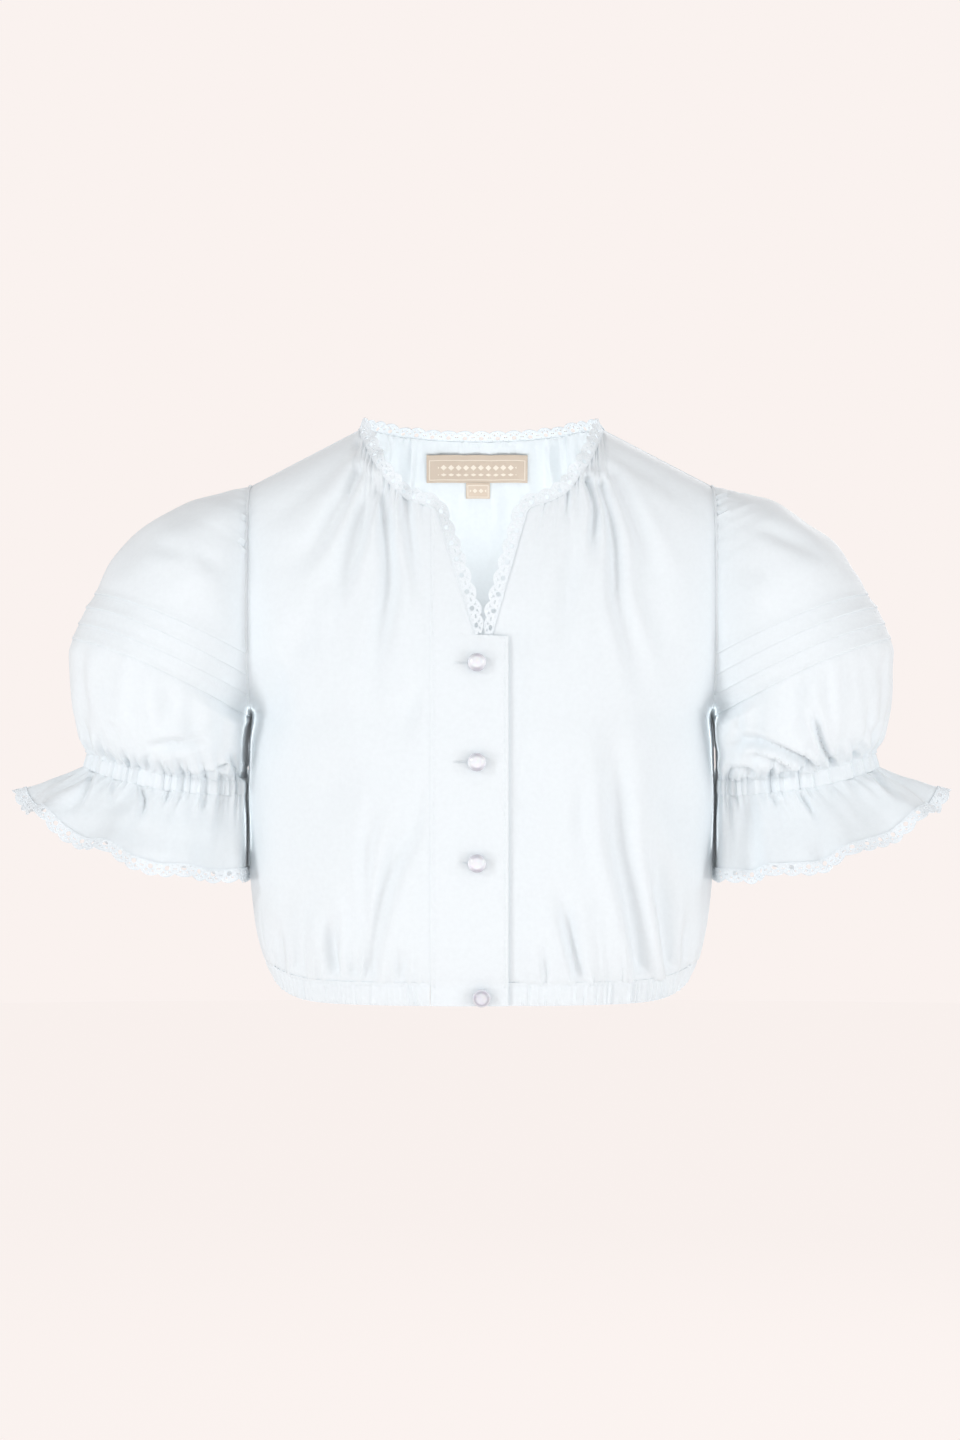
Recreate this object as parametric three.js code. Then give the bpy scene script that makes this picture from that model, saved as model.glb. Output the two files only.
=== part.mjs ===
// A child's short cotton blouse with puff sleeves, filled out as if worn.
// Millimetres, +Z up. The wearer faces -Y, and +X is the wearer's left.
// The origin lies between the shoulders, at the height of the two neck points.
import * as THREE from "three";

// Driving dimensions
const WALL = 1.2; // cloth with its seams
const BAND_WALL = 2; // doubled cloth of the button band
const TRIM_WALL = 1; // lace and labels
const SEAM_GAP = 0.3;
const HALF_SIDE_GAP = 0.2; // front and back stand this far from the side seam each
const NECK_HALF = 82; // neck point from the middle
const ARMHOLE_X = 156;
const SHOULDER_DROP = 38.5; // shoulder tip below the neck point
const ARMPIT_Z = -195;
const SLEEVE_SEAM_X = ARMHOLE_X + SEAM_GAP + 0.05;
const HEM_SIDE_Z = -373;
const HEM_DIP = 12; // the hem hangs this much lower at the front and back than at the sides
const CASING = 15; // height of the hem casing
const BAND_LEFT = -33.6; // edges of the button band, in X
const BAND_RIGHT = 17.7;
const BAND_PROUD = 0.5;
const UNDERLAP_X = -20; // the left front runs this far under the band
const UNDERLAP_DEPTH = 2.2;
const SLIT = { bottomZ: -143, topZ: -57, bandX: -3, leftX: 5.6, topX: 30 };
const LACE_WIDTH = 8;
const LACE_SCALLOP = 2.2; // how far each scallop reaches past the dips between them
const BUTTON = { diameter: 12, height: 6.6, sides: 12 };
const BUTTON_PLACES = [
  { x: -3, z: -160 },
  { x: -3, z: -224.6 },
  { x: -3, z: -290.3 },
  { x: 0, z: -379.4 },
];
const NECK_LABEL = { left: -38.5, right: 32.3, top: -11.5, bottom: -30.6 };
const SIZE_TAB = { left: -10.7, right: 5.9, top: -30.9, bottom: -41.5 };

// Sections of the body from the neck down: half the width, and the depth to front and back
const BODY_SECTIONS = [
  { z: 12, halfWidth: 70, front: 32, back: 31 },
  { z: 0, halfWidth: 82, front: 43, back: 42 },
  { z: -8, halfWidth: 97.4, front: 53, back: 51 },
  { z: -20, halfWidth: 120.4, front: 63, back: 60 },
  { z: -38.5, halfWidth: 156, front: 71, back: 68 },
  { z: -53, halfWidth: 173, front: 77, back: 73 },
  { z: -75, halfWidth: 183, front: 84, back: 80 },
  { z: -110, halfWidth: 186, front: 92, back: 88 },
  { z: -150, halfWidth: 178, front: 98, back: 93 },
  { z: -180, halfWidth: 164, front: 101, back: 95 },
  { z: -195, halfWidth: 156, front: 102, back: 96 },
  { z: -215, halfWidth: 157.5, front: 103, back: 96.5 },
  { z: -250, halfWidth: 158, front: 103, back: 97 },
  { z: -300, halfWidth: 156.8, front: 102, back: 96 },
  { z: -320, halfWidth: 154.8, front: 100, back: 95 },
  { z: -343, halfWidth: 152, front: 97, back: 92 },
  { z: -354, halfWidth: 149, front: 93, back: 89 },
  { z: -364, halfWidth: 144.5, front: 88, back: 85 },
  { z: -373, halfWidth: 140.5, front: 85, back: 82 },
  { z: -386, halfWidth: 139, front: 84, back: 81 },
];
const BODY_SQUARENESS = 1.25; // 1 makes each section an ellipse, more makes it fuller at the corners

// Neckline of the front from the top of the slit to the neck point
const NECKLINE = [
  { x: 45, z: -52.5 },
  { x: 56, z: -46 },
  { x: 64, z: -36 },
  { x: 73.5, z: -21 },
  { x: NECK_HALF, z: 0 },
];
const BACK_NECK_DIP = 4.5;

// Rows of the sleeve from the shoulder tip to the bottom of its casing. Inner is the seam or the side
// next to the body, outer is the far side, depth is half the fullness from front to back, and droop
// says how far the front of the row hangs towards its inner end.
const SLEEVE_ROWS = [
  { innerX: 156.35, innerZ: -38.9, outerX: 156.6, outerZ: -38.8, depth: 1, droop: 0 },
  { innerX: 156.35, innerZ: -50, outerX: 176, outerZ: -43, depth: 33, droop: 0 },
  { innerX: 156.35, innerZ: -65, outerX: 196, outerZ: -49, depth: 50, droop: 0 },
  { innerX: 156.35, innerZ: -85, outerX: 217, outerZ: -60, depth: 62, droop: 0 },
  { innerX: 156.35, innerZ: -105, outerX: 234, outerZ: -73, depth: 70, droop: 0 },
  { innerX: 156.35, innerZ: -122, outerX: 248, outerZ: -87, depth: 75, droop: 0 },
  { innerX: 156.35, innerZ: -139, outerX: 257, outerZ: -101, depth: 77, droop: 0 },
  { innerX: 156.35, innerZ: -153, outerX: 262, outerZ: -112, depth: 78, droop: 0 },
  { innerX: 156.35, innerZ: -167, outerX: 268, outerZ: -121, depth: 78.5, droop: 0 },
  { innerX: 156.35, innerZ: -180, outerX: 273, outerZ: -132, depth: 78.5, droop: 0 },
  { innerX: 156.4, innerZ: -194.9, outerX: 277, outerZ: -142, depth: 78, droop: 0 },
  { innerX: 158, innerZ: -203, outerX: 279.5, outerZ: -153, depth: 77, droop: 0.05 },
  { innerX: 159.4, innerZ: -213, outerX: 279.5, outerZ: -169, depth: 75, droop: 0.2 },
  { innerX: 160, innerZ: -223, outerX: 277, outerZ: -188, depth: 70, droop: 0.4 },
  { innerX: 160.4, innerZ: -232, outerX: 271, outerZ: -207, depth: 58, droop: 0.7 },
  { innerX: 160.8, innerZ: -238, outerX: 267, outerZ: -219.5, depth: 42, droop: 1 },
  { innerX: 160.8, innerZ: -248, outerX: 269.5, outerZ: -229.5, depth: 41, droop: 1 },
];
const FIRST_TUCK_ROW = 7;
const TUCKS = 4;
const ARMPIT_ROW = 10;
const CASING_ROW = 15;
const TUCK_STEP = 0.15; // share of a row over which a tuck's edge falls back
const TUCK_PROUD = 1.5;
const ROW_SAG = 1.45; // curve of the upper rows between seam and outer side
const DROOP_SAG = 2.1; // curve of the rows that hang

// Rows of the flounce below the casing, in the same columns
const FLOUNCE_ROWS = [
  { innerX: 161, innerZ: -248.6, outerX: 270, outerZ: -230.3, depth: 41.5, droop: 1 },
  { innerX: 161.2, innerZ: -264, outerX: 285, outerZ: -236.5, depth: 48, droop: 1 },
  { innerX: 161.6, innerZ: -282, outerX: 299, outerZ: -243, depth: 57, droop: 1 },
  { innerX: 162, innerZ: -297.5, outerX: 308, outerZ: -248, depth: 64, droop: 1 },
];
const FLOUNCE_WAVES = 9;
const FLOUNCE_WAVE_DEPTH = 5;

// Largest folds of the front: troughs from the neckline and the hem, with X as on the wearer's left
const LEFT_FOLDS = [
  { fromX: 72, fromZ: -46, toX: 70, toZ: -100, width: 5, depth: 3.4 },
  { fromX: 81, fromZ: -42, toX: 97, toZ: -166, width: 7, depth: 3.2 },
  { fromX: 88, fromZ: -31, toX: 126, toZ: -128, width: 8, depth: 3 },
  { fromX: 91, fromZ: -27, toX: 148, toZ: -70, width: 7, depth: 2.4 },
  { fromX: 76, fromZ: -262, toX: 107, toZ: -366, width: 9, depth: 3.4 },
  { fromX: 109, fromZ: -272, toX: 126, toZ: -366, width: 7, depth: 3 },
  { fromX: 49, fromZ: -280, toX: 65, toZ: -366, width: 7, depth: 2.6 },
];
const RIGHT_FOLDS = [
  { fromX: 50, fromZ: -60, toX: 37, toZ: -134, width: 6, depth: 2.4 },
  { fromX: 64, fromZ: -50, toX: 66, toZ: -176, width: 7, depth: 3.2 },
  { fromX: 71, fromZ: -46, toX: 101, toZ: -142, width: 7, depth: 3.2 },
  { fromX: 80, fromZ: -34, toX: 124, toZ: -112, width: 7, depth: 3 },
  { fromX: 85, fromZ: -18, toX: 134, toZ: -74, width: 8, depth: 2.6 },
  { fromX: 40, fromZ: -250, toX: 76, toZ: -322, width: 14, depth: 3.4 },
  { fromX: 92, fromZ: -300, toX: 100, toZ: -366, width: 7, depth: 2.6 },
];
const BACK_FOLDS = [
  { fromX: -66, fromZ: -10, toX: -84, toZ: -120, width: 8, depth: 3 },
  { fromX: -34, fromZ: -12, toX: -38, toZ: -100, width: 7, depth: 2.4 },
  { fromX: 30, fromZ: -12, toX: 36, toZ: -116, width: 7, depth: 2.6 },
  { fromX: 64, fromZ: -10, toX: 88, toZ: -134, width: 8, depth: 3 },
  { fromX: -104, fromZ: -262, toX: -92, toZ: -362, width: 9, depth: 3.2 },
  { fromX: -40, fromZ: -286, toX: -44, toZ: -362, width: 8, depth: 2.8 },
  { fromX: 22, fromZ: -270, toX: 18, toZ: -362, width: 8, depth: 3 },
  { fromX: 96, fromZ: -280, toX: 84, toZ: -362, width: 9, depth: 3.2 },
];
const NECK_GATHER_DEPTH = 1.1;
const NECK_GATHER_REACH = 26;
const CASING_GATHER_DEPTH = 0.7;
const CASING_BULGE = 0.9;
const HEAD_GATHER_DEPTH = 1.3;

// How finely each piece is divided
const NECK_COLUMNS = 14;
const SHOULDER_COLUMNS = 8;
const FRONT_ROW_STOPS = [0, 0.06, 0.14, 0.23, 0.33, 0.43, 0.53, 0.63, 0.68, 0.726, 0.79, 0.85, 0.9, 0.95, 1];
const SLIT_ROW = 9; // the row of a front that starts the slit
const BACK_ROW_STOPS = [0, 0.06, 0.14, 0.25, 0.36, 0.48, 0.6, 0.7, 0.79, 0.86, 0.91, 0.94, 0.97, 1];
const SLEEVE_COLUMNS = 28;
const SLEEVE_ROW_STOPS = [0, 0.5, 1, 1.5, 2, 2.5, 3, 4, 5, 6];
const LOWER_SLEEVE_ROW_STOPS = [11, 12, 13, 13.8, 14.5, 15, 15.5, 16];
const FLOUNCE_COLUMNS = 40;

const CLOTH = { color: 0xf4f7fa, roughness: 0.9, metalness: 0 };
const LACE = { color: 0xf8fafb, roughness: 0.85, metalness: 0 };
const PEARL = { color: 0xefe9ee, roughness: 0.2, metalness: 0 };
const LABEL = { color: 0xdecbb6, roughness: 0.8, metalness: 0 };

const clamp01 = (value) => Math.min(1, Math.max(0, value));
const lerp = THREE.MathUtils.lerp;
const smooth = THREE.MathUtils.smoothstep;
const stops = (count) => Array.from({ length: count + 1 }, (_, index) => index / count);

// Reads a table at any place between its rows, along curves that don't overshoot
function readTable(table, key, place) {
  const ascending = table[table.length - 1][key] > table[0][key];
  const rows = ascending ? table : [...table].reverse();
  const at = Math.min(rows[rows.length - 1][key], Math.max(rows[0][key], place));
  let low = 0;
  while (low < rows.length - 2 && rows[low + 1][key] <= at) low += 1;
  const span = rows[low + 1][key] - rows[low][key];
  const share = (at - rows[low][key]) / span;
  const slope = (index, name) => (rows[index + 1][name] - rows[index][name]) / (rows[index + 1][key] - rows[index][key]);
  const tangent = (index, name) => {
    if (index === 0) return slope(0, name);
    if (index === rows.length - 1) return slope(index - 1, name);
    const before = slope(index - 1, name);
    const after = slope(index, name);
    return before * after <= 0 ? 0 : (2 * before * after) / (before + after);
  };
  const result = {};
  for (const name of Object.keys(rows[0])) {
    const start = rows[low][name];
    const end = rows[low + 1][name];
    const rise = end - start;
    const first = tangent(low, name) * span;
    const last = tangent(low + 1, name) * span;
    const cube = first + last - 2 * rise;
    const square = 3 * rise - 2 * first - last;
    result[name] = start + share * (first + share * (square + share * cube));
  }
  return result;
}

// Half the width of the body. The shoulder seam runs straight from the neck point to the shoulder tip.
function halfWidthAt(z) {
  if (z > -SHOULDER_DROP && z <= 0) return lerp(NECK_HALF, ARMHOLE_X, -z / SHOULDER_DROP);
  return readTable(BODY_SECTIONS, "z", z).halfWidth;
}

// The body as a height over its front view: face is -1 for the front and 1 for the back
function bodyPoint(x, z, face) {
  const section = readTable(BODY_SECTIONS, "z", z);
  const across = Math.pow(clamp01(Math.abs(x) / halfWidthAt(z)), BODY_SQUARENESS);
  const depth = face < 0 ? section.front : section.back;
  return new THREE.Vector3(x, face * depth * Math.sqrt(1 - across * across), z);
}

const armholeDepth = (z, face) => Math.abs(bodyPoint(ARMHOLE_X, z, face).y);
const widthShare = (angle) => Math.sign(angle) * Math.pow(Math.abs(Math.sin(angle)), 1 / BODY_SQUARENESS);
const hemLine = (angle) => HEM_SIDE_Z - HEM_DIP * (1 - Math.pow(Math.abs(Math.sin(angle)), 10));

// A point of the body round its girth, at a height over the hem: the angle is 0 at the middle
function girthPoint(angle, aboveHem, face) {
  const z = hemLine(angle) + aboveHem;
  return bodyPoint(halfWidthAt(z) * widthShare(angle), z, face);
}

// The angle at which the girth passes a place across the body, near the hem
const angleAt = (x) => Math.sign(x) * Math.asin(Math.pow(Math.abs(x) / halfWidthAt(HEM_SIDE_Z), BODY_SQUARENESS));

// A grid of points over two lists of stops, with points that coincide joined into one
function gridOf(acrossStops, upStops, pointAt, turned) {
  const points = [];
  const places = [];
  const known = new Map();
  const number = (across, up) => {
    const point = pointAt(across, up);
    const name = point.toArray().map((value) => Math.round(value * 1e4)).join(" ");
    if (!known.has(name)) {
      known.set(name, points.length);
      points.push(point);
      places.push({ across, up });
    }
    return known.get(name);
  };
  const numbers = upStops.map((up) => acrossStops.map((across) => number(across, up)));
  const faces = [];
  const addFace = (a, b, c) => {
    if (a !== b && b !== c && c !== a) faces.push(turned ? [a, c, b] : [a, b, c]);
  };
  for (let row = 0; row + 1 < upStops.length; row += 1) {
    for (let column = 0; column + 1 < acrossStops.length; column += 1) {
      const [a, b] = [numbers[row][column], numbers[row][column + 1]];
      const [c, d] = [numbers[row + 1][column + 1], numbers[row + 1][column]];
      addFace(a, b, c);
      addFace(a, c, d);
    }
  }
  return { points, places, numbers, faces };
}

function normalsOf(surface) {
  const normals = surface.points.map(() => new THREE.Vector3());
  for (const face of surface.faces) {
    const [a, b, c] = face.map((index) => surface.points[index]);
    const normal = new THREE.Vector3().subVectors(b, a).cross(new THREE.Vector3().subVectors(c, a));
    face.forEach((index) => normals[index].add(normal));
  }
  return normals.map((normal) => normal.normalize());
}

// The surface moved along its normals. Hold names the axes that a point keeps its place in.
function moved(surface, amountAt, holdAt) {
  const normals = normalsOf(surface);
  const points = surface.points.map((point, index) => {
    const step = normals[index].clone().multiplyScalar(amountAt(surface.places[index], point));
    for (const axis of holdAt(surface.places[index], point)) step[axis] = 0;
    return point.clone().add(step);
  });
  return { ...surface, points };
}

// A closed wall of cloth: the surface is its outer face
function wallOf(surface, thickness, holdAt) {
  const inner = moved(surface, () => -thickness, holdAt);
  const count = surface.points.length;
  const directed = new Set(surface.faces.flatMap(([a, b, c]) => [`${a} ${b}`, `${b} ${c}`, `${c} ${a}`]));
  const index = [];
  for (const [a, b, c] of surface.faces) {
    index.push(a, b, c, a + count, c + count, b + count);
    for (const [from, to] of [[a, b], [b, c], [c, a]]) {
      if (!directed.has(`${to} ${from}`)) {
        index.push(to, from, from + count, to, from + count, to + count);
      }
    }
  }
  const geometry = new THREE.BufferGeometry();
  geometry.setFromPoints([...surface.points, ...inner.points]);
  geometry.setIndex(index);
  return geometry;
}

const holdNothing = () => [];

function meshOf(name, geometry, finish) {
  const mesh = new THREE.Mesh(geometry, new THREE.MeshStandardMaterial(finish));
  mesh.name = name;
  return mesh;
}

// A patch between four edges in the front view
function patchPoint(edges, across, up) {
  const mix = (axis) => {
    const sides = (1 - across) * edges.left(up)[axis] + across * edges.right(up)[axis];
    const ends = (1 - up) * edges.bottom(across)[axis] + up * edges.top(across)[axis];
    const low = (1 - across) * edges.bottom(0)[axis] + across * edges.bottom(1)[axis];
    const high = (1 - across) * edges.top(0)[axis] + across * edges.top(1)[axis];
    return sides + ends - (1 - up) * low - up * high;
  };
  return { x: mix("x"), z: mix("z") };
}

// How far the folds of a table push a point in
function foldDepth(folds, x, z) {
  let depth = 0;
  for (const fold of folds) {
    const alongX = fold.toX - fold.fromX;
    const alongZ = fold.toZ - fold.fromZ;
    const length = Math.hypot(alongX, alongZ);
    const along = ((x - fold.fromX) * alongX + (z - fold.fromZ) * alongZ) / (length * length);
    const aside = ((x - fold.fromX) * alongZ - (z - fold.fromZ) * alongX) / length;
    const taper = Math.sqrt(clamp01(Math.sin(Math.PI * clamp01(along * 0.86 + 0.14))));
    depth -= fold.depth * taper * Math.exp(-((aside / fold.width) ** 2));
  }
  return depth;
}

const NECK_SHARE = NECK_COLUMNS / (NECK_COLUMNS + SHOULDER_COLUMNS);

// One front. Hand is 1 on the wearer's left and -1 on the wearer's right, and X is taken as on the left.
function frontEdges(middle) {
  const topStart = { x: Math.max(SLIT.topX, middle.topX), z: SLIT.topZ };
  const neck = new THREE.SplineCurve([topStart, ...NECKLINE].map(({ x, z }) => new THREE.Vector2(x, z)));
  const startAngle = angleAt(middle.bottomX);
  const bottom = (across) => girthPoint(lerp(startAngle, Math.PI / 2, across), CASING + SEAM_GAP, -1);
  const lowZ = bottom(0).z;
  const sideLowZ = bottom(1).z;
  return {
    bottom,
    top: (across) => {
      if (across <= NECK_SHARE) {
        const point = neck.getPointAt(across / NECK_SHARE);
        return { x: point.x, z: point.y };
      }
      const share = Math.sin((Math.PI / 2) * ((across - NECK_SHARE) / (1 - NECK_SHARE)));
      return { x: lerp(NECK_HALF, ARMHOLE_X, share), z: -SHOULDER_DROP * share };
    },
    left: (up) => {
      const z = lerp(lowZ, SLIT.topZ, up);
      return { x: middle.edge(z), z };
    },
    right: (up) => {
      const z = lerp(sideLowZ, -SHOULDER_DROP, up);
      return { x: z < ARMPIT_Z ? halfWidthAt(z) : ARMHOLE_X, z };
    },
  };
}

const slitX = (z, bottomX) => lerp(bottomX, SLIT.topX, clamp01((z - SLIT.bottomZ) / (SLIT.topZ - SLIT.bottomZ)));

const LEFT_MIDDLE = {
  bottomX: UNDERLAP_X,
  topX: SLIT.topX,
  edge: (z) => (z < SLIT.bottomZ ? lerp(UNDERLAP_X, SLIT.leftX, smooth(z, -165, SLIT.bottomZ)) : slitX(z, SLIT.leftX)),
};
const RIGHT_MIDDLE = {
  bottomX: -BAND_LEFT + SEAM_GAP,
  topX: -BAND_LEFT + SEAM_GAP,
  edge: () => -BAND_LEFT + SEAM_GAP,
};

// The part of the left front that lies under the button band is set back
function underlap(x, z) {
  const aside = 1 - smooth(x, BAND_RIGHT + 5, BAND_RIGHT + 18);
  const below = 1 - smooth(z, SLIT.bottomZ + 5, SLIT.bottomZ + 24);
  return -UNDERLAP_DEPTH * aside * below;
}

// Gathers that alternate from column to column under the neckline
function neckGather(across, x, z) {
  const column = Math.round((across * NECK_COLUMNS) / NECK_SHARE);
  const fade = clamp01(1 - Math.abs(column - 8) / 7);
  const down = Math.hypot(Math.max(0, Math.abs(x) - NECK_HALF), Math.max(0, -z - 20)) / NECK_GATHER_REACH;
  return NECK_GATHER_DEPTH * (column % 2 ? 1 : -1) * fade * Math.exp(-down);
}

function frontSurface(hand) {
  const middle = hand > 0 ? LEFT_MIDDLE : RIGHT_MIDDLE;
  const folds = hand > 0 ? LEFT_FOLDS : RIGHT_FOLDS;
  const edges = frontEdges(middle);
  const columns = stops(NECK_COLUMNS + SHOULDER_COLUMNS);
  const base = gridOf(columns, FRONT_ROW_STOPS, (across, up) => {
    const { x, z } = patchPoint(edges, across, up);
    const point = bodyPoint(x, z, -1);
    return point.set(hand * x, point.y - HALF_SIDE_GAP, z);
  }, hand < 0);
  const holdAt = ({ across, up }) => {
    const atSide = across === 1;
    const atShoulder = up === 1 && across >= NECK_SHARE;
    if (across === 0) return ["x"];
    return atSide || atShoulder ? ["y"] : [];
  };
  const amountAt = ({ across, up }, point) => {
    const x = hand * point.x;
    const edgeFade = (1 - smooth(across, 0.9, 1)) * (across > NECK_SHARE ? 1 - up ** 6 : 1);
    const set = hand > 0 ? underlap(x, point.z) : 0;
    const flat = hand > 0 ? smooth(x, BAND_RIGHT, BAND_RIGHT + 10) : 1;
    const gather = across <= NECK_SHARE ? neckGather(across, x, point.z) : 0;
    return set + flat * edgeFade * (foldDepth(folds, x, point.z) + gather);
  };
  return { surface: moved(base, amountAt, holdAt), holdAt };
}

function backSurface() {
  const neckHalfCount = NECK_COLUMNS / 2;
  const total = 2 * (neckHalfCount + SHOULDER_COLUMNS);
  const neckShare = neckHalfCount / (neckHalfCount + SHOULDER_COLUMNS);
  const spread = (across) => 2 * across - 1;
  const lowZ = girthPoint(Math.PI / 2, CASING + SEAM_GAP, 1).z;
  const side = (hand) => (up) => {
    const z = lerp(lowZ, -SHOULDER_DROP, up);
    return { x: hand * (z < ARMPIT_Z ? halfWidthAt(z) : ARMHOLE_X), z };
  };
  const edges = {
    left: side(-1),
    right: side(1),
    bottom: (across) => girthPoint((spread(across) * Math.PI) / 2, CASING + SEAM_GAP, 1),
    top: (across) => {
      const away = Math.abs(spread(across));
      const hand = Math.sign(spread(across));
      if (away <= neckShare + 1e-9) {
        const x = (NECK_HALF * away) / neckShare;
        return { x: hand * x, z: -BACK_NECK_DIP * (1 - (x / NECK_HALF) ** 2) };
      }
      const share = Math.sin((Math.PI / 2) * ((away - neckShare) / (1 - neckShare)));
      return { x: hand * lerp(NECK_HALF, ARMHOLE_X, share), z: -SHOULDER_DROP * share };
    },
  };
  const base = gridOf(stops(total), BACK_ROW_STOPS, (across, up) => {
    const { x, z } = patchPoint(edges, across, up);
    const point = bodyPoint(x, z, 1);
    return point.set(x, point.y + HALF_SIDE_GAP, z);
  }, true);
  const holdAt = ({ across, up }) => {
    const atSide = across === 0 || across === 1;
    const atShoulder = up === 1 && Math.abs(spread(across)) >= neckShare - 1e-9;
    return atSide || atShoulder ? ["y"] : [];
  };
  const amountAt = ({ across, up }, point) => {
    const away = Math.abs(spread(across));
    const edgeFade = (1 - smooth(away, 0.9, 1)) * (away > neckShare ? 1 - up ** 6 : 1);
    return edgeFade * foldDepth(BACK_FOLDS, point.x, point.z);
  };
  return { surface: moved(base, amountAt, holdAt), holdAt, neckShare };
}

// The hem casing, whose elastic draws it into small gathers. One that ends at the band has a last X.
function casingMesh(name, face, fromAngle, toAngle, columns, flatNear, lastX) {
  const base = gridOf(stops(columns), stops(2), (across, up) => {
    const free = girthPoint(lerp(fromAngle, toAngle, across), up * CASING, face);
    const point = lastX !== undefined && across === 1 ? bodyPoint(lastX, free.z, face) : free;
    return point.setY(point.y + face * HALF_SIDE_GAP);
  }, face > 0);
  const angleOf = (across) => lerp(fromAngle, toAngle, across);
  const holdAt = ({ across }) => (Math.abs(angleOf(across)) > Math.PI / 2 - 1e-6 ? ["y"] : ["z"]);
  const amountAt = ({ across, up }, point) => {
    const angle = angleOf(across);
    const loose = smooth(Math.PI / 2 - Math.abs(angle), 0, 0.12) * flatNear(point.x);
    const gather = Math.round(across * columns) % 2 ? CASING_GATHER_DEPTH : -CASING_GATHER_DEPTH;
    const set = face < 0 && angle > angleAt(UNDERLAP_X) - 0.01 ? underlap(point.x, point.z) : 0;
    return set + loose * (gather + CASING_BULGE * (up === 0.5 ? 1 : 0));
  };
  return meshOf(name, wallOf(moved(base, amountAt, holdAt), WALL, holdAt), CLOTH);
}

// The button band, cut away along the slit
function bandSurface() {
  const lowZ = hemLine(0);
  const panelLowZ = lowZ + CASING + SEAM_GAP;
  const heights = FRONT_ROW_STOPS.map((share) => lerp(panelLowZ, SLIT.topZ, share));
  const below = heights.slice(0, SLIT_ROW);
  const upStops = [lowZ, ...below, SLIT.bottomZ - 3, ...heights.slice(SLIT_ROW)];
  const rightEdge = (z) => (z < SLIT.bottomZ - 1 ? BAND_RIGHT : -slitX(z, -SLIT.bandX));
  const base = gridOf(stops(3), upStops, (across, z) => {
    const x = lerp(BAND_LEFT, rightEdge(z), across);
    return bodyPoint(x, z, -1);
  }, false);
  const holdAt = ({ across }) => (across === 0 ? ["x"] : []);
  return { surface: moved(base, () => BAND_PROUD, holdAt), holdAt };
}

// A point round a sleeve row: turn runs from -1 at the front, over 0 outside, to 1 at the back
function sleevePoint(row, turn) {
  const face = turn < 0 ? -1 : 1;
  const aboveArmpit = row.innerZ > ARMPIT_Z;
  const seamDepth = aboveArmpit ? armholeDepth(row.innerZ, face) : 0;
  const depth = Math.max(row.depth, seamDepth * 1.03);
  const endAngle = Math.PI - Math.asin(seamDepth / depth);
  const centreX = (row.innerX - row.outerX * Math.cos(endAngle)) / (1 - Math.cos(endAngle));
  const angle = Math.abs(turn) * endAngle;
  const x = centreX + (row.outerX - centreX) * Math.cos(angle);
  const inward = clamp01((row.outerX - x) / Math.max(0.01, row.outerX - row.innerX));
  const drop = lerp(inward ** ROW_SAG, 1 - (1 - inward) ** DROOP_SAG, row.droop);
  return new THREE.Vector3(x, face * depth * Math.sin(angle), lerp(row.outerZ, row.innerZ, drop));
}

// Each tuck stands proud along its lower edge and falls back to the cloth below it
function tuckProud(place) {
  const from = place - (FIRST_TUCK_ROW - 1);
  if (from <= 0 || from > TUCKS + TUCK_STEP) return 0;
  const share = from % 1;
  if (from < 1) return TUCK_PROUD * clamp01((share - 0.5) * 2);
  if (share <= TUCK_STEP) return TUCK_PROUD * (1 - share / TUCK_STEP);
  return from > TUCKS ? 0 : TUCK_PROUD * ((share - TUCK_STEP) / (1 - TUCK_STEP));
}

function sleeveSurface(hand) {
  const rows = SLEEVE_ROWS.map((row, place) => ({ place, ...row }));
  const tuckStops = Array.from({ length: TUCKS }, (_, index) => FIRST_TUCK_ROW + index);
  const rowStops = [
    ...SLEEVE_ROW_STOPS,
    ...tuckStops.flatMap((stop) => [stop, stop + TUCK_STEP]),
    ...LOWER_SLEEVE_ROW_STOPS,
  ];
  const turns = stops(SLEEVE_COLUMNS).map((share) => 2 * share - 1);
  const base = gridOf(turns, rowStops, (turn, place) => {
    const row = readTable(rows, "place", place);
    if (place === 0) return new THREE.Vector3(hand * SLEEVE_SEAM_X, 0, row.innerZ);
    if (place <= ARMPIT_ROW) row.innerX = SLEEVE_SEAM_X;
    const point = sleevePoint(row, Math.abs(turn) === 1 && place > ARMPIT_ROW ? 1 : turn);
    if (Math.abs(turn) === 1 && place >= ARMPIT_ROW) point.y = 0;
    return point.setX(hand * point.x);
  }, hand > 0);
  const holdAt = ({ across, up }) => (up <= ARMPIT_ROW && Math.abs(across) === 1 ? ["x"] : []);
  const amountAt = ({ across, up }) => {
    const nearSeam = smooth(Math.abs(across), 0.45, 1);
    const head = up > 0 && up < 3.5 ? HEAD_GATHER_DEPTH * nearSeam * (up % 1 ? -1 : 1) : 0;
    const column = Math.round(((across + 1) / 2) * SLEEVE_COLUMNS);
    const pinch = smooth(up, 13, 14.5) * (1 - smooth(Math.abs(across), 0.86, 1));
    const depth = up < CASING_ROW ? 1.8 : 0.8;
    const gather = depth * pinch * (column % 2 ? 1 : -1);
    const bulge = up === CASING_ROW + 0.5 ? 0.8 : 0;
    return head * (Math.abs(across) === 1 ? 0 : 1) + gather + bulge + tuckProud(up);
  };
  return { surface: moved(base, amountAt, holdAt), holdAt };
}

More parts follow.
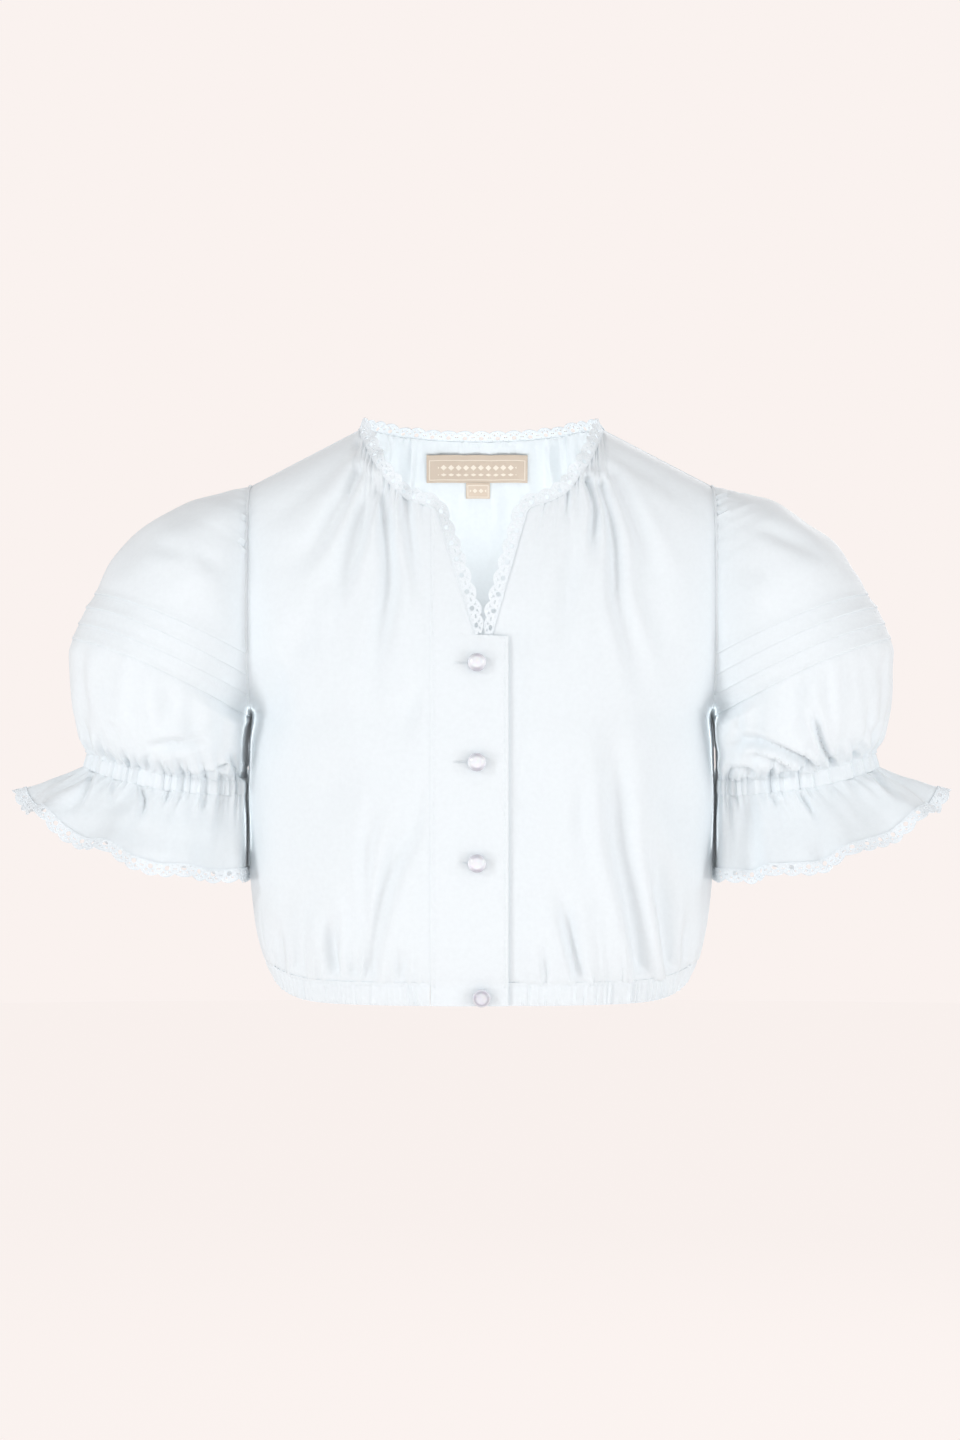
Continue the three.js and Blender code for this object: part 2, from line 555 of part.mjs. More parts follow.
function flounceSurface(hand) {
  const rows = FLOUNCE_ROWS.map((row, place) => ({ place, ...row }));
  const last = rows.length - 1;
  const turns = stops(FLOUNCE_COLUMNS).map((share) => 2 * share - 1);
  const rowStops = [0, 0.6, 1.3, 2.1, last];
  const base = gridOf(turns, rowStops, (turn, place) => {
    const point = sleevePoint(readTable(rows, "place", place), Math.abs(turn) === 1 ? 1 : turn);
    if (Math.abs(turn) === 1) point.y = 0;
    return point.setX(hand * point.x);
  }, hand > 0);
  const amountAt = ({ across, up }) => {
    const free = 1 - 0.9 * smooth(Math.abs(across), 0.7, 1);
    const uneven = 1 + 0.25 * Math.sin(3.1 * Math.PI * across + hand);
    return FLOUNCE_WAVE_DEPTH * free * uneven * (up / last) ** 1.3 * Math.cos(FLOUNCE_WAVES * Math.PI * across);
  };
  return moved(base, amountAt, holdNothing);
}

// A strip of lace that goes on from an edge of cloth, with a scallop for every second point
function laceMesh(name, edge, awayAt, widthAt, turned, holdAt) {
  const last = edge.length - 1;
  const surface = gridOf(stops(last), [0, 1], (across, up) => {
    const index = Math.round(across * last);
    const width = widthAt(index) - (index % 2 ? 0 : LACE_SCALLOP);
    return edge[index].clone().addScaledVector(awayAt(index), lerp(SEAM_GAP, width, up));
  }, turned);
  return meshOf(name, wallOf(surface, TRIM_WALL, holdAt), LACE);
}

function divided(points, times) {
  const result = [];
  for (let index = 0; index + 1 < points.length; index += 1) {
    for (let step = 0; step < times; step += 1) {
      result.push(points[index].clone().lerp(points[index + 1], step / times));
    }
  }
  return [...result, points[points.length - 1].clone()];
}

// Directions that leave an edge squarely and lie in the cloth, given the outward direction of the cloth
function awayFromEdge(edge, outwardAt, hand) {
  return edge.map((point, index) => {
    const before = edge[Math.max(0, index - 1)];
    const after = edge[Math.min(edge.length - 1, index + 1)];
    const along = new THREE.Vector3().subVectors(after, before).normalize();
    return along.cross(outwardAt(point)).multiplyScalar(-hand).normalize();
  });
}

function bodyOutward(point) {
  const face = Math.sign(point.y) || -1;
  const step = 1;
  const here = bodyPoint(point.x, point.z, face);
  const aside = bodyPoint(point.x - (Math.sign(point.x) || 1) * step, point.z, face).sub(here);
  const below = bodyPoint(point.x, point.z - step, face).sub(here);
  const outward = aside.cross(below).normalize();
  return outward.y * face < 0 ? outward.negate() : outward;
}

// Lace up the slit and round the neckline to the neck point
function frontLace(hand, front, band) {
  const { points, numbers } = front.surface;
  const slitEdge = hand > 0
    ? numbers.slice(SLIT_ROW).map((row) => points[row[0]])
    : band.surface.numbers.slice(SLIT_ROW + 2).map((row) => band.surface.points[row[row.length - 1]]);
  const topRow = numbers[numbers.length - 1].slice(0, NECK_COLUMNS + 1).map((number) => points[number]);
  const neckEdge = hand > 0 ? topRow.slice(1) : topRow;
  const edge = [...divided(slitEdge, 3), ...neckEdge];
  const away = awayFromEdge(edge, bodyOutward, hand);
  const last = edge.length - 1;
  away[last].set(-hand * 0.62, 0, 0.78);
  away[last - 1].lerp(away[last], 0.4).normalize();
  edge[last].y = -HALF_SIDE_GAP;
  const widthAt = (index) => {
    const halfSlit = Math.abs(edge[index].x - (SLIT.leftX + SLIT.bandX) / 2) - SEAM_GAP;
    return Math.min(LACE_WIDTH, Math.max(3, halfSlit));
  };
  const holdAt = ({ across }) => (across === 1 ? ["y"] : []);
  const name = hand > 0 ? "lace_neck_left" : "lace_neck_right";
  return laceMesh(name, edge, (index) => away[index], widthAt, hand > 0, holdAt);
}

function backLace(back) {
  const { points, numbers } = back.surface;
  const top = numbers[numbers.length - 1];
  const neckEdge = top.slice(SHOULDER_COLUMNS, top.length - SHOULDER_COLUMNS).map((number) => points[number]);
  const edge = divided(neckEdge, 2);
  const away = awayFromEdge(edge, bodyOutward, -1);
  const last = edge.length - 1;
  away[0].set(0.62, 0, 0.78);
  away[last].set(-0.62, 0, 0.78);
  away[1].lerp(away[0], 0.4).normalize();
  away[last - 1].lerp(away[last], 0.4).normalize();
  edge[0].y = HALF_SIDE_GAP;
  edge[last].y = HALF_SIDE_GAP;
  const holdAt = ({ across }) => (across === 0 || across === 1 ? ["y"] : []);
  return laceMesh("lace_neck_back", edge, (index) => away[index], () => LACE_WIDTH, true, holdAt);
}

function cuffLace(hand, flounce) {
  const { points, numbers } = flounce;
  const rim = numbers[numbers.length - 1].map((number) => points[number]);
  const above = numbers[numbers.length - 2].map((number) => points[number]);
  const directions = rim.map((point, index) => new THREE.Vector3().subVectors(point, above[index]).normalize());
  const edge = divided(rim, 2);
  const away = divided(directions, 2).map((direction) => direction.normalize());
  const name = hand > 0 ? "lace_cuff_left" : "lace_cuff_right";
  return laceMesh(name, edge, (index) => away[index], () => LACE_WIDTH, hand > 0, holdNothing);
}

// A pearl button: a domed head on a short shank that stands on the band
function buttonMesh(name, place) {
  const radius = BUTTON.diameter / 2;
  const profile = [
    { out: 0, up: 0 },
    { out: 2, up: 0 },
    { out: 2, up: 0.8 },
    { out: radius * 0.72, up: 1.2 },
    { out: radius, up: 3 },
    { out: radius * 0.86, up: 5 },
    { out: radius * 0.5, up: 6.2 },
    { out: 0, up: BUTTON.height },
  ];
  const geometry = new THREE.LatheGeometry(profile.map(({ out, up }) => new THREE.Vector2(out, up)), BUTTON.sides);
  const mesh = meshOf(name, geometry, PEARL);
  const seat = bodyPoint(place.x, place.z, -1);
  const outward = bodyOutward(seat);
  mesh.position.copy(seat).addScaledVector(outward, BAND_PROUD + 1.5 * SEAM_GAP);
  mesh.quaternion.setFromUnitVectors(new THREE.Vector3(0, 1, 0), outward);
  return mesh;
}

// A woven label on the inside of the back, made from the back's own points moved in
function labelMesh(name, size, columns) {
  const surface = gridOf(stops(columns), stops(2), (across, up) => {
    const point = bodyPoint(lerp(size.left, size.right, across), lerp(size.bottom, size.top, up), 1);
    return point.setY(point.y + HALF_SIDE_GAP);
  }, true);
  const folds = ({ across, up }, point) => foldDepth(BACK_FOLDS, point.x, point.z);
  const inside = (place, point) => folds(place, point) - WALL - 3 * SEAM_GAP;
  return meshOf(name, wallOf(moved(surface, inside, holdNothing), TRIM_WALL, holdNothing), LABEL);
}

const blouse = new THREE.Group();
const band = bandSurface();
const back = backSurface();
blouse.add(meshOf("placket", wallOf(band.surface, BAND_WALL, band.holdAt), CLOTH));
blouse.add(meshOf("back", wallOf(back.surface, WALL, back.holdAt), CLOTH));
for (const hand of [-1, 1]) {
  const side = hand > 0 ? "left" : "right";
  const front = frontSurface(hand);
  const sleeve = sleeveSurface(hand);
  const flounce = flounceSurface(hand);
  blouse.add(meshOf(`front_${side}`, wallOf(front.surface, WALL, front.holdAt), CLOTH));
  blouse.add(meshOf(`sleeve_${side}`, wallOf(sleeve.surface, WALL, sleeve.holdAt), CLOTH));
  blouse.add(meshOf(`flounce_${side}`, wallOf(flounce, WALL, holdNothing), CLOTH));
  blouse.add(frontLace(hand, front, band));
  blouse.add(cuffLace(hand, flounce));
}
blouse.add(backLace(back));

const flatByBand = (x) => smooth(x, BAND_RIGHT, BAND_RIGHT + 10);
const rightCasingX = BAND_LEFT - SEAM_GAP;
const rightCasingEnd = angleAt(rightCasingX);
blouse.add(casingMesh("waist_casing_right", -1, -Math.PI / 2, rightCasingEnd, 34, () => 1, rightCasingX));
blouse.add(casingMesh("waist_casing_left", -1, angleAt(UNDERLAP_X), Math.PI / 2, 40, flatByBand));
blouse.add(casingMesh("waist_casing_back", 1, -Math.PI / 2, Math.PI / 2, 56, () => 1));
blouse.add(labelMesh("neck_label", NECK_LABEL, 8));
blouse.add(labelMesh("size_tab", SIZE_TAB, 2));
BUTTON_PLACES.forEach((place, index) => blouse.add(buttonMesh(`button_${index + 1}`, place)));

export default blouse;
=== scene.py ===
"""A child's white cotton blouse with puff sleeves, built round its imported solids."""

import math

import bpy
import numpy as np
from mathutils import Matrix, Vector


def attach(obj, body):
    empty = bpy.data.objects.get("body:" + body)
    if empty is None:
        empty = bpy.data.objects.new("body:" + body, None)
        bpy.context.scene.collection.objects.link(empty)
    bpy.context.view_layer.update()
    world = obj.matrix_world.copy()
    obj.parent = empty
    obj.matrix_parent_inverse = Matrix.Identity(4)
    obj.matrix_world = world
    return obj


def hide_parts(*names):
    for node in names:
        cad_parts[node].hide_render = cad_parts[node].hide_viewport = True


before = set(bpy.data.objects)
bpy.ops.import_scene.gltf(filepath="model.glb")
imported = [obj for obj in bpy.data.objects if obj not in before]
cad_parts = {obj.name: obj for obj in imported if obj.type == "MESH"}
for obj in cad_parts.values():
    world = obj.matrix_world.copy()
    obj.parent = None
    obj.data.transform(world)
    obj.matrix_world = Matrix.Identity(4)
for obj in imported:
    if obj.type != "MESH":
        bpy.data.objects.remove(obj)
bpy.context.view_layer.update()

bl_info = {
    "name": "Puff-sleeved blouse",
    "version": (1, 0, 0),
    "blender": (4, 5, 0),
    "location": "3D View > Sidebar > Blouse",
    "description": "Builds a child's cotton blouse in the frame of its packed solids",
    "category": "Object",
}

# Sizes below are in millimetres, as in the part's source, until a mesh is placed
MM = 0.001
ROOT = "root"
NECK_HALF = 82
ARMHOLE_X = 156
SLEEVE_SEAM_X = 156.35
SHOULDER_DROP = 38.5
ARMPIT_Z = -195
HEM_SIDE_Z = -373
HEM_DIP = 12
CASING = 15
SEAM_GAP = 0.3
HALF_SIDE_GAP = 0.2
BAND_LEFT = -33.6
BAND_RIGHT = 17.7
BAND_PROUD = 0.5
UNDERLAP_X = -20
RIGHT_UNDER_X = 31  # the right front runs this far under the band, in X as on the left
UNDERLAP_DEPTH = 2.2
SLIT_BOTTOM = -143
SLIT_TOP = -57
SLIT_BAND_X = -3
SLIT_LEFT_X = 5.6
SLIT_TOP_X = 30
BACK_NECK_DIP = 4.5
SQUARENESS = 1.25
BUTTON_PLACES = [(-3, -160), (-3, -224.6), (-3, -290.3), (0, -379.4)]
NECK_LABEL = (-38.5, 32.3, -30.6, -11.5)
SIZE_TAB = (-10.7, 5.9, -41.5, -30.9)

# Height, half the width, and the depth to front and back
BODY_SECTIONS = [
    (12, 70, 32, 31),
    (0, 82, 43, 42),
    (-8, 97.4, 53, 51),
    (-20, 120.4, 63, 60),
    (-38.5, 156, 71, 68),
    (-53, 173, 77, 73),
    (-75, 183, 84, 80),
    (-110, 186, 92, 88),
    (-150, 178, 98, 93),
    (-180, 164, 101, 95),
    (-195, 156, 102, 96),
    (-215, 157.5, 103, 96.5),
    (-250, 158, 103, 97),
    (-285, 157.4, 102.4, 96.5),
    (-306, 156.3, 101, 95.4),
    (-325, 154.4, 98.8, 94),
    (-343, 151.6, 95.6, 91.4),
    (-354, 148.8, 92.6, 88.8),
    (-364, 144.6, 89, 85.6),
    (-373, 140.5, 85, 82),
    (-386, 139, 84, 81),
]
NECKLINE = [(45, -52.5), (56, -46), (64, -36), (73.5, -21), (NECK_HALF, 0)]

# Row, inner X and Z, outer X and Z, half depth, and how far the row hangs
SLEEVE_ROWS = [
    (0, 156.35, -38.9, 156.6, -38.8, 1, 0),
    (1, 156.35, -50, 176, -43, 33, 0),
    (2, 156.35, -65, 196, -49, 50, 0),
    (3, 156.35, -85, 217, -60, 62, 0),
    (4, 156.35, -105, 234, -73, 70, 0),
    (5, 156.35, -122, 248, -87, 75, 0),
    (6, 156.35, -139, 257, -101, 77, 0),
    (7, 156.35, -153, 262, -112, 78, 0),
    (8, 156.35, -167, 268, -121, 78.5, 0),
    (9, 156.35, -180, 273, -132, 78.5, 0),
    (10, 156.4, -194.9, 277, -142, 78, 0),
    (11, 158, -203, 279.5, -153, 77, 0.05),
    (12, 158.9, -213, 279.5, -169, 75, 0.2),
    (13, 159.1, -223, 277, -188, 70, 0.4),
    (14, 159.3, -232, 271, -207, 58, 0.7),
    (15, 159.4, -238, 267, -219.5, 42, 1),
    (16, 159.4, -248, 269.5, -229.5, 41, 1),
]
FLOUNCE_ROWS = [
    (0, 159.5, -247.9, 269.4, -229.4, 41.1, 1),
    (1, 158.6, -264, 285, -236.5, 48, 1),
    (2, 158.4, -282, 299, -243, 57, 1),
    (3, 158.3, -297.5, 308, -248, 64, 1),
]
ARMPIT_ROW = 10
CASING_ROW = 15
FIRST_TUCK_ROW = 7
TUCKS = 4
TUCK_HEIGHT = 0.52  # share of the full fold height
CREASE_STRENGTH = 1.85
FREE_CREASE_STRENGTH = 2.5
ROW_SAG = 1.45
DROOP_SAG = 2.1
FLOUNCE_WAVES = 9
SLEEVE_MIDDLE = (205, 0, -170)
FLOUNCE_MIDDLE = (214, 0, -300)
UNDER_FLOUNCE = (214, 0, -330)
CUFF_MIDDLE = (214, 0, -250)
TO_FRONT = (0.0, -1, 0)
TO_BACK = (0.0, 1, 0)

# Shares of the cut edge that the neckline takes, on a front and on half of the back
NECK_SHARE = 14 / 22
BACK_NECK_SHARE = 7 / 15

# A tuck's profile: how far down the row, and how proud, as it rises and as it folds back
TUCK_RISE = [(0.15, 0.0), (0.3, 0.0), (0.45, 0.03), (0.6, 0.12), (0.74, 0.4), (0.86, 0.98), (0.94, 1.4)]
TUCK_FOLD = [(1.0, 1.5), (1.03, 1.38), (1.045, 1.0), (1.03, 0.55), (1.0, 0.25), (0.995, 0.0), (1.02, -0.12)]

# The lace's holes in one motif: share across, share of the width, and radius
LACE_HOLES = [
    (0.5, 0.36, 1.8),
    (0.32, 0.66, 0.85),
    (0.68, 0.66, 0.85),
    (0.06, 0.45, 0.62),
    (0.94, 0.45, 0.62),
    (0.5, 0.82, 0.4),
    (0.16, 0.2, 0.36),
    (0.84, 0.2, 0.36),
    (0.2, 0.74, 0.34),
    (0.8, 0.74, 0.34),
]
SURROUNDED_HOLES = 3
BAR_PITCH = 0.5
COLUMNS_UNDER_BAND = 62
LACE_STITCHES = 8
LACE_PICOTS = 11
RIB_RADIUS = 3.1
LABEL_THICKNESS = 0.45
LIT_POINT = (0, 0, -0.2)  # in metres, as the lamps' places are
SIDES = ((1, "left"), (-1, "right"))

# Creases of the fronts: X and Z along the trough, its half width, depth, and the ridge beside it
LEFT_CREASES = [
    ([(57, -47), (56, -61), (57, -72)], 2.2, 1.3, 0.7),
    ([(64, -60), (60, -90), (55, -128), (55, -165)], 6, 1.5, 0.5),
    ([(70, -38), (75, -57), (74, -78), (73, -100)], 3.2, 3.2, 0.6),
    ([(79, -41), (87, -75), (89, -114), (96, -141), (107, -176), (112, -200)], 5, 2.9, 0.6),
    ([(88, -33), (105, -75), (117, -103), (134, -126)], 6, 2.6, 0.55),
    ([(92, -22), (117, -35), (140, -51), (156, -62)], 5.5, 2.2, 0.5),
    ([(96, -66), (104, -100), (120, -140), (130, -165)], 8, 1.2, 0.4),
    ([(84, -180), (88, -230), (90, -275), (99, -320), (108, -372)], 7, 2.9, 0.55),
    ([(114, -262), (119, -310), (128, -372)], 5.5, 2.6, 0.5),
    ([(51, -300), (58, -338), (66, -374)], 4.5, 2.2, 0.5),
    ([(40, -338), (42, -362), (43, -374)], 3, 1, 0.5),
    ([(128, -215), (131, -252), (135, -300)], 11, 2.2, 0.3),
    ([(69, -222), (66, -262), (70, -302)], 5, 1.1, 0.4),
    ([(30, -200), (34, -250), (33, -300)], 12, 0.9, 0.3),
    ([(140, -318), (137, -345), (136, -372)], 4.5, 1.7, 0.4),
]
RIGHT_CREASES = [
    ([(86, -12), (105, -34), (134, -59), (153, -79)], 6, 2.4, 0.5),
    ([(82, -32), (100, -66), (112, -84), (137, -104)], 5.5, 2.5, 0.5),
    ([(73, -38), (89, -86), (100, -109), (123, -138)], 5.5, 2.4, 0.5),
    ([(70, -45), (77, -70), (87, -100), (95, -128), (103, -150)], 4.5, 2.1, 0.5),
    ([(66, -42), (62, -75), (60, -109), (66, -140), (73, -182), (76, -205)], 5.5, 2.9, 0.6),
    ([(50, -44), (48, -75), (41, -109), (36, -134)], 4.5, 2.0, 0.5),
    ([(112, -120), (120, -150), (124, -182)], 8, 1.3, 0.4),
    ([(139, -140), (143, -175), (146, -205)], 9, 1.6, 0.2),
    ([(29, -222), (41, -258), (59, -294), (71, -338), (75, -374)], 6.5, 2.2, 0.5),
    ([(70, -236), (75, -294), (80, -350), (86, -374)], 4.2, 1.4, 0.5),
    ([(38, -165), (46, -190), (55, -218)], 6, 1.2, 0.4),
    ([(130, -150), (138, -185), (142, -232)], 10, 1.9, 0.3),
    ([(98, -318), (99, -345), (96, -374)], 4.5, 2.2, 0.5),
    ([(84, -296), (85, -335), (88, -374)], 5, 1.7, 0.5),
    ([(120, -290), (122, -330), (122, -374)], 7, 1.7, 0.4),
    ([(52, -345), (54, -374)], 3.5, 1, 0.5),
    ([(96, -205), (98, -245), (104, -285)], 12, 1.2, 0.3),
    ([(137, -322), (134, -372)], 4.5, 1.5, 0.4),
]
BACK_CREASES = [
    ([(-76, -8), (-92, -44), (-110, -88), (-126, -122)], 6, 2.5, 0.5),
    ([(-66, -8), (-76, -50), (-82, -100), (-90, -150)], 5.5, 2.8, 0.6),
    ([(-48, -8), (-52, -46), (-50, -84)], 4, 1.9, 0.5),
    ([(-34, -8), (-38, -60), (-36, -120), (-40, -168)], 5.5, 2.3, 0.5),
    ([(-12, -8), (-14, -40), (-11, -66)], 3.5, 1.4, 0.5),
    ([(6, -8), (9, -50), (6, -96)], 5, 1.8, 0.5),
    ([(30, -8), (35, -64), (38, -118), (33, -150)], 5.5, 2.5, 0.5),
    ([(47, -8), (50, -34), (54, -60)], 3.5, 1.7, 0.5),
    ([(64, -8), (75, -60), (84, -108), (92, -146)], 5.5, 2.8, 0.6),
    ([(74, -8), (98, -44), (118, -70), (140, -92)], 6.5, 2.4, 0.5),
    ([(-104, -240), (-98, -310), (-92, -374)], 7, 2.6, 0.5),
    ([(-70, -300), (-68, -340), (-72, -374)], 4.5, 1.9, 0.5),
    ([(-40, -270), (-43, -320), (-44, -374)], 6, 2.5, 0.5),
    ([(-8, -310), (-6, -345), (-9, -374)], 4.5, 1.7, 0.5),
    ([(22, -256), (20, -315), (18, -374)], 6.5, 2.6, 0.5),
    ([(58, -300), (60, -340), (55, -374)], 5, 2.0, 0.5),
    ([(96, -266), (88, -320), (84, -374)], 7, 2.6, 0.5),
    ([(124, -300), (122, -340), (118, -374)], 5, 1.8, 0.5),
    ([(-128, -306), (-122, -374)], 5, 1.7, 0.5),
    ([(-60, -180), (-66, -230), (-60, -270)], 13, 1.2, 0.3),
    ([(60, -170), (56, -220), (62, -262)], 13, 1.3, 0.3),
]

# Creases of the sleeves and flounces as they are seen from the front, with X as on the left
SLEEVE_LEFT_CREASES = [
    ([(214, -181), (220, -197), (227, -216), (235, -227)], 2.6, 2.4, 0.7),
    ([(240, -207), (246, -214), (252, -224)], 2.2, 1.5, 0.6),
    ([(246, -205), (251, -213), (258, -221)], 2, 1.2, 0.6),
    ([(257, -187), (260, -202), (262, -219)], 3, 1.4, 0.5),
    ([(157, -229), (163, -219), (172, -211), (189, -213), (205, -221), (219, -227)], 3.4, 3, 0.7),
    ([(172, -222), (186, -222), (203, -229)], 2.6, 1.7, 0.5),
    ([(185, -234), (200, -234), (212, -231), (222, -228)], 1.7, 2, 0.5),
    ([(159, -237), (170, -230), (180, -232)], 2.5, 1.8, 0.5),
    ([(239, -150), (241, -175), (240, -203)], 4.5, 1.1, 0.4),
    ([(252, -148), (255, -175), (254, -204)], 4, 1.1, 0.4),
    ([(266, -146), (268, -170), (266, -198)], 4, 1, 0.4),
    ([(226, -158), (228, -175), (232, -200)], 5, 0.8, 0.4),
    ([(180, -170), (188, -190), (196, -205)], 6, 0.9, 0.3),
    ([(171, -66), (193, -73), (213, -82), (234, -98)], 4.5, 1.4, 0.5),
    ([(165, -92), (182, -99), (205, -112)], 6, 0.8, 0.3),
]
SLEEVE_RIGHT_CREASES = [
    ([(228, -217), (211, -214), (190, -212), (172, -208)], 3.2, 2.8, 0.7),
    ([(206, -232), (197, -234.5), (181, -233), (170, -228)], 1.9, 2.2, 0.5),
    ([(161, -215), (164, -226), (160, -238)], 3.5, 2, 0.3),
    ([(255, -206), (254, -215), (252, -225)], 2.2, 1.5, 0.6),
    ([(252, -196), (245, -203), (238, -209)], 2.5, 1.2, 0.5),
    ([(240, -212), (236, -222), (236, -230)], 2, 1.4, 0.5),
    ([(221, -217), (223, -225), (222, -231)], 2.2, 1.5, 0.5),
    ([(240, -166), (233, -187), (226, -208)], 6, 1.3, 0.4),
    ([(273, -150), (268, -180), (262, -204)], 4.5, 1.2, 0.4),
    ([(257, -160), (252, -178), (246, -196)], 5, 0.9, 0.4),
    ([(205, -172), (203, -190), (198, -204)], 6, 0.8, 0.3),
    ([(190, -82), (178, -94), (166, -103)], 5, 1, 0.4),
    ([(222, -78), (204, -84), (188, -86)], 5, 1, 0.4),
]
FLOUNCE_LEFT_CREASES = [
    ([(166, -239), (169, -247), (175, -254)], 2, 1.2, 0.5),
    ([(172, -243), (178, -256), (180, -280)], 5, 0.9, 0.4),
    ([(194, -238), (196, -249), (203, -256)], 1.7, 1.5, 0.7),
    ([(211, -235), (213, -246), (220, -257), (224, -269)], 1.9, 1.7, 0.7),
    ([(231, -232), (234, -240), (233, -250)], 1.8, 0.9, 0.5),
    ([(261, -230), (274, -245), (284, -254)], 2.2, 1.6, 0.6),
    ([(246, -234), (252, -246), (262, -262)], 4, 0.8, 0.4),
]
FLOUNCE_RIGHT_CREASES = [
    ([(229, -236), (225, -250), (227, -260), (235, -270)], 2, 1.8, 0.7),
    ([(209, -240), (210, -248), (214, -257)], 1.7, 1.4, 0.7),
    ([(262, -232), (264, -242), (271, -252), (284, -262)], 2.1, 1.5, 0.6),
    ([(194, -240), (193.5, -252), (195, -276)], 2.6, 1, 0.5),
    ([(187, -240), (186, -250), (183, -262)], 1.8, 0.9, 0.5),
    ([(172, -240), (170, -256), (172, -284)], 4, 0.9, 0.4),
    ([(244, -234), (247, -244), (246, -256)], 1.8, 1, 0.5),
]


def smooth(value, low, high):
    share = np.clip((np.asarray(value, float) - low) / (high - low), 0, 1)
    return share * share * (3 - 2 * share)


def lerp(low, high, share):
    return low + (high - low) * share


def unit(vectors):
    return vectors / np.maximum(np.linalg.norm(vectors, axis=-1, keepdims=True), 1e-6)


def lengths_along(line):
    """How far each point of a line is from its start, measured along the line."""
    return np.concatenate([[0], np.cumsum(np.linalg.norm(np.diff(line, axis=0), axis=1))])


class Table:
    """A table read at any place between its rows, along curves that don't overshoot."""

    def __init__(self, rows):
        values = np.array(sorted(rows), float)
        self.keys = values[:, 0]
        self.values = values[:, 1:]
        slopes = np.diff(self.values, axis=0) / np.diff(self.keys)[:, None]
        before, after = slopes[:-1], slopes[1:]
        with np.errstate(divide="ignore", invalid="ignore"):
            middle = np.where(before * after <= 0, 0, 2 * before * after / (before + after))
        self.tangents = np.vstack([slopes[:1], middle, slopes[-1:]])

    def read(self, place):
        at = np.clip(np.asarray(place, float), self.keys[0], self.keys[-1])
        low = np.clip(np.searchsorted(self.keys, at, side="left") - 1, 0, len(self.keys) - 2)
        span = self.keys[low + 1] - self.keys[low]
        share = ((at - self.keys[low]) / span)[..., None]
        start, end = self.values[low], self.values[low + 1]
        first = self.tangents[low] * span[..., None]
        last = self.tangents[low + 1] * span[..., None]
        rise = end - start
        cube = first + last - 2 * rise
        square = 3 * rise - 2 * first - last
        result = start + share * (first + share * (square + share * cube))
        return np.moveaxis(result, -1, 0)


BODY = Table(BODY_SECTIONS)
SLEEVE = Table(SLEEVE_ROWS)
FLOUNCE = Table(FLOUNCE_ROWS)


def half_width(z):
    z = np.asarray(z, float)
    shoulder = lerp(NECK_HALF, ARMHOLE_X, -z / SHOULDER_DROP)
    return np.where((z > -SHOULDER_DROP) & (z <= 0), shoulder, BODY.read(z)[0])


def body_points(x, z, face):
    x, z = np.broadcast_arrays(np.asarray(x, float), np.asarray(z, float))
    _, front, back = BODY.read(z)
    across = np.clip(np.abs(x) / half_width(z), 0, 1) ** SQUARENESS
    depth = front if face < 0 else back
    return np.stack([x, face * depth * np.sqrt(1 - across**2), z], axis=-1)


def hem_line(angle):
    return HEM_SIDE_Z - HEM_DIP * (1 - np.abs(np.sin(angle)) ** 10)


def girth_points(angle, above_hem, face):
    z = hem_line(angle) + above_hem
    share = np.sign(angle) * np.abs(np.sin(angle)) ** (1 / SQUARENESS)
    return body_points(half_width(z) * share, z, face)


def angle_at(x):
    return math.copysign(math.asin((abs(x) / float(half_width(HEM_SIDE_Z))) ** SQUARENESS), x)


def spline(points, count=400):
    """Points along a smooth curve through the given ones, and the share of its length at each."""
    points = np.array(points, float)
    padded = np.vstack([points[:1], points, points[-1:]])
    found = []
    for index in range(len(points) - 1):
        before, start, end, after = padded[index : index + 4]
        share = np.linspace(0, 1, count // (len(points) - 1), endpoint=False)[:, None]
        first, last = (end - before) / 2, (after - start) / 2
        cube = 2 * start - 2 * end + first + last
        square = -3 * start + 3 * end - 2 * first - last
        found.append(start + share * (first + share * (square + share * cube)))
    curve = np.vstack([*found, points[-1:]])
    return curve, lengths_along(curve)


def along_curve(points, share):
    curve, lengths = spline(points)
    at = np.asarray(share, float) * lengths[-1]
    return np.stack([np.interp(at, lengths, curve[:, axis]) for axis in range(curve.shape[1])], axis=-1)


def patch(left, right, bottom, top, across, up):
    """A patch between four edges in the front view: edges are arrays of X and Z."""
    across = across[None, :, None]
    up = up[:, None, None]
    sides = (1 - across) * left[:, None] + across * right[:, None]
    ends = (1 - up) * bottom[None] + up * top[None]
    low = (1 - across) * bottom[0] + across * bottom[-1]
    high = (1 - across) * top[0] + across * top[-1]
    return sides + ends - (1 - up) * low - up * high


def normals_of(points, outward):
    across = np.gradient(points, axis=1)
    along = np.gradient(points, axis=0)
    normal = np.cross(across, along)
    size = np.linalg.norm(normal, axis=-1, keepdims=True)
    normal = np.where(size > 1e-7, normal / np.maximum(size, 1e-7), outward)
    turned = np.sum(normal * outward, axis=-1, keepdims=True).mean() < 0
    return -normal if turned else normal


